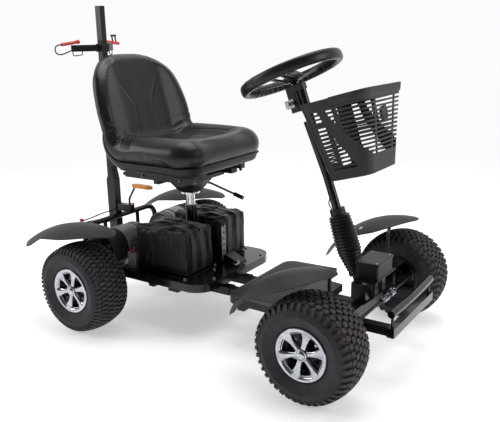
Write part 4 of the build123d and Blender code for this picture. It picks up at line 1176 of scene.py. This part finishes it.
def bag_straps(side_name, tree, low, high):
    """Webbing over a bag, its two carrying handles and the wrap that holds them together."""
    front, back, top = high.x, low.x, high.z
    middle_y = (low.y + high.y) / 2
    straps = Shape()
    for y in (middle_y - 34 * MM, middle_y + 22 * MM):
        path = [Vector((front - 2 * MM, y, low.z + 10 * MM)),
                Vector((front - 1.5 * MM, y, low.z + 70 * MM)),
                Vector((front - 1.5 * MM, y, top - 22 * MM)),
                Vector((front - 10 * MM, y, top - 4 * MM)),
                Vector((front - 50 * MM, y, top - 3 * MM)), Vector((front - 90 * MM, y, top - 3 * MM))]
        path = chain(path, 8)
        ribbon(straps, on_skin(tree, path, 1.4 * MM), ACROSS, 24 * MM, 2.0 * MM)
    for end_x in (front - 92 * MM, back + 92 * MM):
        sign = 1 if end_x > (front + back) / 2 else -1
        loop = [Vector((end_x, middle_y - 40 * MM, top - 3 * MM)),
                Vector((end_x - sign * 10 * MM, middle_y - 28 * MM, top - 1.6 * MM)),
                Vector((end_x - sign * 24 * MM, middle_y, top - 1.2 * MM)),
                Vector((end_x - sign * 10 * MM, middle_y + 28 * MM, top - 1.6 * MM)),
                Vector((end_x, middle_y + 40 * MM, top - 3 * MM))]
        ribbon(straps, chain(loop, 8), (1, 0, 0), 20 * MM, 1.8 * MM)
    for shift in (-15, 15):
        arch = [Vector(((front + back) / 2 + x * MM, middle_y + (shift + turn) * MM, top + lift * MM))
                for x, turn, lift in ((-78, -6, -3), (-60, -4, 1), (-30, 0, 7), (0, 2, 9), (30, 2, 7),
                                      (60, 5, 1),
                                      (78, 8, -3))]
        ribbon(straps, chain(arch, 8), ACROSS, 22 * MM, 2 * MM)
    straps.save(f"bag_straps_{side_name}", "webbing", "chassis", "black_nylon", sharp=30)
    wrap = Shape()
    rings = []
    for x, size in ((-36, 0.7), (-34, 0.95), (-20, 1.04), (0, 0.98), (20, 1.04), (34, 0.95), (36, 0.7)):
        rings.append([Vector(((front + back) / 2 + x * MM, middle_y + 2 * MM, top + 9 * MM))
                      + Vector((0, math.cos(math.tau * i / 20) * 19 * size,
                                math.sin(math.tau * i / 20) * 6 * size)) * MM
                      for i in range(20)])
    wrap.rings(rings)
    wrap.save(f"bag_handle_wrap_{side_name}", "black_nylon", "chassis", "black_nylon", levels=1)


def make_bags():
    """Two crumpled bags with seam piping, straps and carrying handles."""
    for side_name, side in SIDES:
        node = f"battery_bag_{side_name}"
        low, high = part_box(node)
        floor = low.z + 2 * MM
        skin = cloth_skin(f"bag_{side_name}", bag_shape(low, high), 6 * MM, 2.0, 5 * MM, 12,
                          held=lambda point, floor=floor: point.z < floor)
        for vertex in skin.vertices:
            for n in range(3):
                vertex.co[n] = min(max(vertex.co[n], low[n] + 0.4 * MM), high[n] - 0.4 * MM)
        front, back = high.x, low.x
        top = high.z
        tree = tree_of(skin)
        corners = [(x, y) for x in (back + 7 * MM, front - 7 * MM)
                   for y in (low.y + 7 * MM, high.y - 7 * MM)]
        lines = []
        for x, y in corners:
            lines.append([Vector((x, y, low.z + 12 * MM + (top - low.z - 24 * MM) * i / 20))
                          for i in range(21)])
        order = (0, 1, 3, 2, 0)
        for a, b in zip(order, order[1:]):
            start, end = corners[a], corners[b]
            lines.append([Vector((blend(start[0], end[0], i / 24), blend(start[1], end[1], i / 24),
                                  top - 9 * MM))
                          for i in range(25)])
        lines = [on_skin(tree, line, 0.6 * MM) for line in lines]
        middle_y = (low.y + high.y) / 2
        flap = on_skin(tree, [Vector((blend(back, front, i / 30), middle_y + side * 14 * MM, top))
                              for i in range(31)])
        press(skin, [flap], 5 * MM, 4 * MM)
        bag = bpy.data.objects.new(f"bag_{side_name}", skin)
        dress(bag, "black_nylon", "chassis", sharp=75, replaces=(node,))
        trim = Shape()
        for line in lines:
            trim.tube(line, 1.9 * MM, steps=7)
        trim.save(f"bag_piping_{side_name}", "webbing", "chassis", "black_nylon")
        bag_straps(side_name, tree, low, high)
        zip_line = Shape()
        for i in range(44):
            spot = flap[4 + i * 22 // 44]
            x = blend(back + 30 * MM, front - 30 * MM, i / 43)
            place = tree.find_nearest(Vector((x, spot.y, top)))[0]
            zip_line.box(place - Vector((1.4, 3.0, 0.6)) * MM, place + Vector((1.4, 3.0, 1.0)) * MM)
        zip_line.save(f"bag_zip_{side_name}", "black_plastic", "chassis", "black_nylon")


# Steering wheel

WHEEL_AT = joint_place("steering")
WHEEL_UP = Vector(JOINTS["steering"]["axis"]).normalized()
WHEEL_AHEAD = ACROSS.cross(WHEEL_UP).normalized()
RIM_R = 163.5
# half width, half height and middle of the rim's section; it is taller than wide, with full sides
GRIP_R, GRIP_HIGH, GRIP_DROP = 14.0, 18.5, -3.0
FULLNESS = 0.75


def wheel_spot(ahead, across, up):
    """A point in the wheel's own frame, in millimetres."""
    return WHEEL_AT + (WHEEL_AHEAD * ahead + ACROSS * across + WHEEL_UP * up) * MM


def grip_section(turn):
    """Distance out and up of the rim's section at a turn, in shares of its half sizes."""
    return [math.copysign(abs(part) ** FULLNESS, part) for part in (math.cos(turn), math.sin(turn))]


def make_rim():
    """A thick rim with finger rests and seams."""
    rim = Shape()
    rings = []
    steps = 240
    for step in range(steps):
        angle = math.tau * step / steps
        rest = 0.5 + 0.5 * math.cos(angle * 46)
        ring = []
        for turn_step in range(24):
            out, up = grip_section(math.tau * turn_step / 24)
            dent = 2.2 * rest * ease(0.1, -0.7, out) * ease(0.6, -0.2, up)
            reach = RIM_R + GRIP_R * out + dent
            ring.append(wheel_spot(math.cos(angle) * reach, math.sin(angle) * reach,
                                   GRIP_HIGH * up + GRIP_DROP))
        rings.append(ring)
    rim.rings(rings, closed=True)
    rim.save("wheel_rim", "grip_pu", "steering_wheel", "grip_pu", replaces=("steering_wheel",))
    bands = Shape()
    for degrees in (-118, -104, -62, 62, 104, 118, 180):
        angle = math.radians(degrees)
        ring = []
        for turn_step in range(28):
            out, up = grip_section(math.tau * turn_step / 28)
            reach = RIM_R + (GRIP_R + 0.1) * out
            ring.append(wheel_spot(math.cos(angle) * reach, math.sin(angle) * reach,
                                   (GRIP_HIGH + 0.1) * up + GRIP_DROP))
        bands.tube(ring, 0.7 * MM, steps=6, closed=True)
    bands.save("wheel_seams", "black_plastic", "steering_wheel", "grip_pu")


def make_spokes():
    """Three dished spokes, a domed hub with its cap, and the shaft."""
    spokes = Shape()
    # degrees from straight ahead, half width at the hub and at the rim
    for degrees, near, far in ((90, 23.0, 30.0), (-90, 23.0, 30.0), (180, 25.0, 32.0)):
        angle = math.radians(degrees)
        out = Vector((math.cos(angle), math.sin(angle)))
        over = Vector((-out.y, out.x))
        for sign in (1, -1):
            rings = []
            for share in (0.0, 0.15, 0.35, 0.6, 0.85, 1.0):
                reach = blend(26.0, RIM_R - GRIP_R + 4, share)
                middle = sign * blend(near * 0.62, far * 0.72, share)
                half = blend(11.0, 8.0, math.sin(math.pi * share)) if share < 1 else 10.0
                lift = blend(-20.0, -1.0, ease(0.0, 1.0, share))
                ring = []
                for turn_step in range(10):
                    turn = math.tau * turn_step / 10
                    sideways = middle + half * math.cos(turn)
                    ring.append(wheel_spot(out.x * reach + over.x * sideways,
                                           out.y * reach + over.y * sideways,
                                           lift + 4.2 * math.sin(turn)))
                rings.append(ring)
            spokes.rings(rings)
    hub = mm((0.4, 2), (14, 1), (26, -4), (33, -11), (36, -19), (35, -25), (28, -28), (0.4, -28))
    spokes.lathe(WHEEL_AT, WHEEL_UP, hub, steps=56)
    spokes.save("wheel_spokes", "black_plastic", "steering_wheel", "grip_pu", sharp=45)
    cap = Shape()
    dome = mm((0.4, 4.4), (10, 4.0), (20, 2.0), (23, -0.4), (23, -4))
    cap.lathe(WHEEL_AT, WHEEL_UP, dome, steps=48)
    cap.save("wheel_hub_cap", "gloss_black", "steering_wheel", "grip_pu")
    shaft = Shape()
    for profile in (mm((9, -27), (9, -61), (0.4, -61), (0.4, -27)),
                    mm((13, -28), (13, -33.5), (9, -34), (9, -27)),
                    mm((13.5, -27), (13.5, -35), (9, -35), (9, -27))):
        shaft.lathe(WHEEL_AT, WHEEL_UP, profile, steps=32, closed=True)
    shaft.save("wheel_shaft", "gloss_black", "steering_wheel", "grip_pu", sharp=30)


# Basket: slotted wall, floor and rim, with a raised lip, bands and a round boss

BASKET_LEAN = math.radians(15.1)
BASKET_AT = Vector((FRONT_X - 224 * MM, 0, 896 * MM))
BASKET_UP = Vector((-math.sin(BASKET_LEAN), 0, math.cos(BASKET_LEAN)))
BASKET_AHEAD = Vector((math.cos(BASKET_LEAN), 0, math.sin(BASKET_LEAN)))
BASKET_TOP, BASKET_BOTTOM = (36.0, 262.0, 150.0), (66.0, 205.0, 112.0)
BASKET_CORNER = 34.0
BASKET_HIGH = 250.0
# the round boss on the front: its place down the wall and the radius it covers
BOSS_FALL, BOSS_CLEAR = 0.33, 25.0


def basket_outline(fall, offset, start=0.0, end=1.0, steps=96):
    """Points round the wall from the left back corner to the right one; start and end trim it."""
    back, front, half = (blend(top, bottom, fall) for top, bottom in zip(BASKET_TOP, BASKET_BOTTOM))
    half, front, corner = half + offset, front + offset, BASKET_CORNER + offset
    side_run = front - corner - back
    arc = corner * math.pi / 2
    face_run = 2 * (half - corner)
    total = 2 * side_run + 2 * arc + face_run
    points = []
    for step in range(steps + 1):
        walk = blend(start, end, step / steps) * total
        if walk <= side_run:
            x, y = back + walk, half
        elif walk <= side_run + arc:
            turn = (walk - side_run) / corner
            x, y = front - corner + corner * math.sin(turn), half - corner + corner * math.cos(turn)
        elif walk <= side_run + arc + face_run:
            x, y = front, half - corner - (walk - side_run - arc)
        elif walk <= side_run + 2 * arc + face_run:
            turn = (walk - side_run - arc - face_run) / corner
            x, y = front - corner + corner * math.cos(turn), -(half - corner) - corner * math.sin(turn)
        else:
            x, y = front - corner - (walk - side_run - 2 * arc - face_run), -half
        points.append((x, y))
    return points


def basket_place(x, y, fall):
    """A row frame point of the basket."""
    up = -75.0 - BASKET_HIGH * fall
    return BASKET_AT + BASKET_AHEAD * x * MM + ACROSS * y * MM + BASKET_UP * up * MM


def basket_sheet(shape, low, high, edges, offset, thick, steps):
    """A raised sheet on the wall between two falls; edges(fall) gives its start and end."""
    rings = []
    rows = 14
    for row in range(rows + 1):
        fall = blend(low, high, row / rows)
        start, end = edges(fall)
        outer = basket_outline(fall, offset + thick, start, end, steps)
        inner = basket_outline(fall, offset, start, end, steps)
        rings.append([basket_place(x, y, fall) for x, y in outer]
                     + [basket_place(x, y, fall) for x, y in reversed(inner)])
    shape.rings(rings)


# slot rows and size down the wall, in shares of its height and in millimetres
SLOT_ROWS, SLOT_FIRST, SLOT_LAST = 15, 0.14, 0.86
SLOT_HIGH = 7.5
WALL_THICK = 3.0
LIP_HIGH, LIP_PROUD = 24.0, 4.0
SIDE_SHARE = 0.37
FOOT_FALL = 0.77


def band_edges(fall):
    """Where the curved band starts and ends round the wall, from a back corner."""
    back = (0.2 + 0.1 * fall + 0.45 * fall ** 2) * SIDE_SHARE
    front = min(0.3 + 0.1 * fall + 0.9 * fall ** 2, 1.0) * SIDE_SHARE
    return back, front


def basket_column(stretch, bend, share, fall, out):
    """A point round the wall: stretch 0 to 3 is left, front, right, back; bend is the corner after it."""
    back, front, half = (blend(top, bottom, fall) for top, bottom in zip(BASKET_TOP, BASKET_BOTTOM))
    near, far, side = back + BASKET_CORNER, front - BASKET_CORNER, half - BASKET_CORNER
    corners = ((near, side), (far, side), (far, -side), (near, -side))
    faces = ((0, 1), (1, 0), (0, -1), (-1, 0))
    start, end = Vector(corners[stretch]), Vector(corners[(stretch + 1) % 4])
    face, turned = Vector(faces[stretch]), Vector(faces[(stretch + 1) % 4])
    if bend:
        angle = share * math.pi / 2
        start, face = end, face * math.cos(angle) + turned * math.sin(angle)
    else:
        start = start.lerp(end, share)
    return start + face * (BASKET_CORNER + out)


def slot_is_open(stretch, bend, place, fall):
    """Whether a slot row is open at a point of the wall."""
    back, front, half = (blend(top, bottom, fall) for top, bottom in zip(BASKET_TOP, BASKET_BOTTOM))
    if stretch == 3:
        return not bend and 14 < abs(place.y) < half - 36
    if stretch == 2 and bend:
        return False
    side_run = front - back - BASKET_CORNER
    arc = BASKET_CORNER * math.pi / 2
    total = 2 * (side_run + arc + half - BASKET_CORNER)
    if bend:
        turn = math.asin(min(max((place.x - front + BASKET_CORNER) / BASKET_CORNER, 0.0), 1.0))
        walk = side_run + BASKET_CORNER * turn
    elif stretch == 1:
        walk = total / 2 - abs(place.y)
        if math.hypot(place.y, (fall - BOSS_FALL) * BASKET_HIGH) < BOSS_CLEAR:
            return False
    else:
        walk = place.x - back
    share = walk / total
    band_back, band_front = band_edges(fall)
    post = (0.47 + 0.14 * fall) * 0.31
    if share < band_back:
        return share > 0.034
    open_front = band_front < share < 0.380 or share > 0.398
    return open_front and fall < FOOT_FALL and not post < share < post + 0.024


def basket_walls():
    """The wall as a thickened sheet with its slots left out, with the floor and the plain rim."""
    steps = ((0, 0, 66), (0, 1, 14), (1, 0, 76), (1, 1, 14), (2, 0, 66), (2, 1, 8), (3, 0, 60),
             (3, 1, 8))
    columns = [(stretch, bend, step / count) for stretch, bend, count in steps for step in range(count)]
    middles = [(stretch, bend, (step + 0.5) / count) for stretch, bend, count in steps
               for step in range(count)]
    levels = [(0.0, False)]
    for row in range(SLOT_ROWS):
        fall = blend(SLOT_FIRST, SLOT_LAST, row / (SLOT_ROWS - 1))
        levels += [(fall - SLOT_HIGH / 2 / BASKET_HIGH, True),
                   (fall + SLOT_HIGH / 2 / BASKET_HIGH, False)]
    levels.append((1.0, False))
    wall = Shape()
    points = [basket_place(*basket_column(*column, fall, 0.0), fall) for fall, _ in levels
              for column in columns]
    faces = []
    count = len(columns)
    for level in range(len(levels) - 1):
        middle = (levels[level][0] + levels[level + 1][0]) / 2
        for index in range(count):
            place = basket_column(*middles[index], middle, 0.0)
            if levels[level][1] and slot_is_open(middles[index][0], middles[index][1], place, middle):
                continue
            after = (index + 1) % count
            faces.append((level * count + index, level * count + after,
                          (level + 1) * count + after, (level + 1) * count + index))
    wall.add(points, faces)
    mesh = bpy.data.meshes.new("basket_wall")
    mesh.from_pydata([tuple(point) for point in wall.points], [], wall.faces)
    sheet = bpy.data.objects.new("basket_wall", mesh)
    bpy.context.scene.collection.objects.link(sheet)
    thick = sheet.modifiers.new("thickness", "SOLIDIFY")
    thick.thickness, thick.offset, thick.use_even_offset = WALL_THICK * MM, 1.0, True
    apply_modifiers(sheet)
    bpy.context.scene.collection.objects.unlink(sheet)
    rest = Shape()
    rest.rings([[basket_place(*basket_column(*column, fall, -1.0), fall) for column in columns]
                for fall in (0.988, 1.0)])
    section = ((-1.0, -3.5), (-1.0, LIP_PROUD), (LIP_HIGH, LIP_PROUD), (LIP_HIGH, -3.5))
    rest.rings([[basket_place(*basket_column(*column, drop / BASKET_HIGH, out), drop / BASKET_HIGH)
                 for drop, out in section] for column in columns], closed=True)
    rest.save("basket_floor_and_rim", "charcoal_plastic", "chassis", "charcoal_plastic", sharp=40)
    dress(sheet, "charcoal_plastic", "chassis", sharp=40, replaces=("basket",))


def make_basket_trim():
    """The lip's raised stretch, the bands, the foot band and the boss."""
    lip = Shape()
    rings = []
    # height over the wall's top and distance out
    section = ((1.5, 0.0), (3.0, 3.0), (2.4, 6.6), (-1.0, 7.6), (-14.0, 7.4), (-22.0, 6.4),
               (-24.6, 4.2), (-24.6, 0.4))
    for height, out in section:
        rings.append([basket_place(x, y, -height / BASKET_HIGH) for x,
                      y in basket_outline(-height / BASKET_HIGH, out, 0.15, 0.85, 110)])
    columns = list(zip(*rings))
    lip.rings([list(column) for column in columns])
    lip.save("basket_lip", "charcoal_plastic", "chassis", "charcoal_plastic", sharp=50)
    proud = Shape()

    def band(fall, shift):
        back, front = band_edges(fall)
        back, front = back + 0.004, front - 0.004
        return (back, front) if shift > 0 else (1 - front, 1 - back)

    for side in (1, -1):
        basket_sheet(proud, 0.10, 0.84, lambda fall, side=side: band(fall, side), 0.2, 1.8, 6)
    basket_sheet(proud, 0.89, 0.995, lambda fall: (0.02, 0.98), 0.2, 1.8, 90)
    proud.save("basket_bands", "charcoal_plastic", "chassis", "charcoal_plastic", sharp=40)
    boss = Shape()
    fall = BOSS_FALL
    out = (basket_place(100, 0, fall) - basket_place(0, 0, fall)).normalized()
    middle = basket_place(basket_outline(fall, 0, 0.5, 0.5, 1)[0][0], 0, fall)
    disc = mm((0.5, 6), (13, 6.4), (16, 8.4), (22, 8), (24, 5), (24, 0))
    boss.lathe(middle - out * 4 * MM, out, disc, steps=48)
    boss.save("basket_boss", "charcoal_plastic", "chassis", "charcoal_plastic", sharp=35)


# Fittings


def hexagon_bolt(shape, place, axis, size, height):
    """A bolt head with a washer; size is across flats in millimetres."""
    axis = Vector(axis).normalized()
    shape.lathe(place, axis, mm((size * 0.85, 0), (size * 0.85, 1.2), (0.3, 1.2)), steps=24)
    head = mm((size * 0.577, 0), (size * 0.577, height * 0.8), (size * 0.45, height), (0.3, height))
    shape.lathe(Vector(place) + axis * 1.1 * MM, axis, head, steps=6)


def bolt_circle(shape, centre, radius, count, axis, size, height):
    """Bolt heads spread round an upright circle that faces sideways."""
    for turn in range(count):
        angle = math.tau * (turn + 0.5) / count
        spot = (centre[0] + math.cos(angle) * radius * MM, centre[1],
                centre[2] + math.sin(angle) * radius * MM)
        hexagon_bolt(shape, spot, axis, size, height)


def drop_on(name, x, y):
    """The point and normal where a plumb line meets a CAD node from above."""
    tree = tree_of(frame["nodes"][name].data)
    return tree.ray_cast(Vector((x * MM, y * MM, 2.0)), Vector((0, 0, -1)))[:2]


def helix(shape, start, end, radius, wire, turns):
    """A wire spring between two points."""
    start, end = Vector(start), Vector(end)
    axis = (end - start).normalized()
    side = axis.orthogonal().normalized()
    other = axis.cross(side)
    count = turns * 14
    path = []
    for step in range(count + 1):
        angle = math.tau * turns * step / count
        out = side * math.cos(angle) + other * math.sin(angle)
        path.append(start.lerp(end, step / count) + out * radius)
    shape.tube(path, wire, steps=6)


# where the two springs on the tie rod start, from its middle toward the left
SPRING_NEAR, SPRING_FAR = 0, 58


def make_deck_fittings():
    """Bolts on the deck, a screw in each fender and the footboard's ribs."""
    deck_bolts = Shape()
    for x, y in ((-120, 72), (-46, -23), (-16, -68), (40, -144), (-58, 208), (38, 171), (-43, -207),
                 (46, 46)):
        hexagon_bolt(deck_bolts, (x * MM, y * MM, DECK_TOP), UP, 8.0, 5.0)
    deck_bolts.save("deck_bolts", "zinc_rod", "chassis", "zinc_rod", sharp=25)
    screws = Shape()
    head = mm((7.5, 0), (7.5, 1.2), (5.2, 1.6), (4.6, 3.4), (2.6, 4.2), (0.3, 4.3))
    for name, x, y in (("fender_front_right", 424, -268), ("fender_front_left", 424, 268),
                       ("fender_rear_right", -463, -295), ("fender_rear_left", -463, 295)):
        place, normal = drop_on(name, x, y)
        if normal.z < 0:
            normal = -normal
        screws.lathe(place - normal * 0.5 * MM, normal, head, steps=24)
    screws.save("fender_screws", "zinc_rod", "chassis", "zinc_rod", sharp=40)
    ribs = Shape()
    low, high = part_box("footboard")
    x = low.x + 14 * MM
    while x < low.x + 205 * MM:
        ribs.box((x, -196 * MM, high.z), (x + 4 * MM, 196 * MM, high.z + 1.6 * MM))
        x += 12 * MM
    ribs.save("footboard_ribs", "black_rubber", "chassis", "black_rubber", bevel=0.7 * MM)


def make_rod_springs():
    """Two springs between nuts on the tie rod."""
    springs = Shape()
    low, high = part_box("tie_rod")
    x, z = (low.x + high.x) / 2, (low.z + high.z) / 2
    for start, run, turns in ((SPRING_NEAR, 34, 6), (SPRING_FAR, 28, 5)):
        helix(springs, (x, start * MM, z), (x, (start + run) * MM, z), 10.5 * MM, 1.6 * MM, turns)
    for y in (SPRING_NEAR - 20, SPRING_NEAR - 7, SPRING_NEAR + 36, SPRING_FAR - 7, SPRING_FAR + 30):
        hexagon_bolt(springs, (x, y * MM, z), ACROSS, 14.0, 7.0)
    springs.save("tie_rod_springs", "bright_collar", "tie_rod", "zinc_rod", sharp=30)


def make_box_lid():
    """The control box's lid and its four screws."""
    lid = Shape()
    low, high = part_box("control_box")
    lid.box((low.x - 2 * MM, low.y - 2 * MM, high.z - 9 * MM),
            (high.x + 2 * MM, high.y + 2 * MM, high.z - 0.6 * MM))
    lid.save("control_box_lid", "black_plastic", "chassis", "black_plastic", bevel=1.5 * MM)
    screws = Shape()
    for x in (low.x + 8 * MM, high.x - 8 * MM):
        for y in (-54 * MM, 54 * MM):
            screws.lathe((x, y, high.z - 0.4 * MM), UP, mm((3.2, 0), (3.0, 1.2), (0.3, 1.5)), steps=16)
    screws.save("control_box_screws", "zinc_rod", "chassis", "zinc_rod")


def make_pin_and_boots():
    """The latch's ring pin and the red boots on the power connector's leads."""
    ring = Shape()
    low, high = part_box("latch_plate")
    middle = Vector((high.x - 8 * MM, low.y - 9 * MM, DECK_TOP + 13 * MM))
    for turn in (0.0, 0.25):
        loop = [middle + Vector((math.cos(angle) * 12, math.sin(angle) * (3 + 8 * turn),
                                 math.sin(angle) * 11)) * MM
                for angle in (math.tau * step / 36 for step in range(36))]
        ring.tube(loop, 1.1 * MM, steps=7, closed=True)
    ring.tube([middle + Vector((6, 12, -3)) * MM, middle + Vector((6, -16, -3)) * MM], 3.0 * MM,
              steps=12)
    ring.save("latch_ring_pin", "zinc_rod", "chassis", "zinc_rod")
    boots = Shape()
    low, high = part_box("power_plug")
    boot = mm((4.4, 0), (4.4, 8), (3.2, 13), (3.0, 19), (0.3, 19.5))
    for x in (low.x + 8 * MM, high.x - 8 * MM):
        boots.lathe((x, (low.y + high.y) / 2, high.z - 1 * MM), UP, boot, steps=20)
    boots.save("plug_boots", "red_rubber", "chassis", "plug_grey")


# height of the motors' axis and distance out of the drive units' outer bolts, in millimetres
MOTOR_HIGH, BOLTS_OUT = 272, 272


def make_motors():
    """Bolts of the drive units, then the motors' grey shells and black ribbed bands."""
    bolts = Shape()
    for side_name, side in SIDES:
        low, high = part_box(f"drive_unit_{side_name}")
        centre = ((low.x + high.x) / 2, side * BOLTS_OUT * MM, MOTOR_HIGH * MM)
        bolt_circle(bolts, centre, 55, 6, (0, side, 0), 9.0, 4.0)
    bolts.save("drive_unit_bolts", "zinc_rod", "chassis", "zinc_rod", sharp=25)
    profile = mm((66.2, 74), (67.2, 75), (67.2, 120), (66.2, 121), (66.2, 128), (71.2, 132),
                 (71.2, 190), (70.2, 191))
    for side_name, side in SIDES:
        low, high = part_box(f"drive_unit_{side_name}")
        x = (low.x + high.x) / 2
        shell, bands = Shape(), Shape()
        shell.lathe((x, 0, MOTOR_HIGH * MM), (0, side, 0), profile, steps=72)
        shell.save(f"motor_shell_{side_name}", "motor_grey", "chassis", "motor_grey", sharp=30)
        for along in (84, 100, 196, 204, 212, 220, 228):
            radius = 67.2 if along < 125 else 70.2
            band = mm((radius - 1, along - 2.4), (radius + 1.6, along - 1.8),
                      (radius + 1.6, along + 1.8), (radius - 1, along + 2.4))
            bands.lathe((x, 0, MOTOR_HIGH * MM), (0, side, 0), band, steps=72, closed=True)
        bolt_circle(bands, (x, side * 238.4 * MM, MOTOR_HIGH * MM), 60, 8, (0, -side, 0), 7.0, 3.0)
        bands.save(f"motor_bands_{side_name}", "motor_black", "chassis", "motor_grey", sharp=30)


def make_seat_and_cradle_fittings():
    """Bolts of the seat's slides, and the upper cradle's release lever and block."""
    bolts = Shape()
    low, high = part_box("seat_slides")
    for y in (-138, 138):
        for x in (low.x + 26 * MM, low.x + 120 * MM, high.x - 100 * MM, high.x - 24 * MM):
            hexagon_bolt(bolts, (x, y * MM, 548 * MM), (0, math.copysign(1, y), 0), 8.0, 5.0)
    bolts.save("slide_bolts", "bare_steel", "seat", "black_powder", sharp=25)
    cradle = (GRIP_X, 0, CRADLE_Z)
    lever = Shape()
    for y in (124.0, 142.0):
        lever.tube([millimetres(*cradle, 0, y - 4, 22), millimetres(*cradle, -8, y, 47)],
                   3.2 * MM, steps=10)
    lever.tube([millimetres(*cradle, -8, 120, 47), millimetres(*cradle, -8, 146, 47)], 4.2 * MM,
               steps=12)
    lever.save("cradle_release_lever", "black_plastic", "chassis", "black_plastic")
    block = Shape()
    block.box(millimetres(*cradle, -9, 74, 4), millimetres(*cradle, 9, 102, 21))
    block.save("cradle_block", "motor_grey", "chassis", "motor_grey", bevel=2 * MM)


make_camera()
make_floor()
make_light()
make_cords()
finish_nodes()
make_tyres()
make_covers()
make_rim()
make_spokes()
basket_walls()
make_basket_trim()
make_deck_fittings()
make_rod_springs()
make_box_lid()
make_pin_and_boots()
make_motors()
make_seat_and_cradle_fittings()
make_bags()
make_seat()
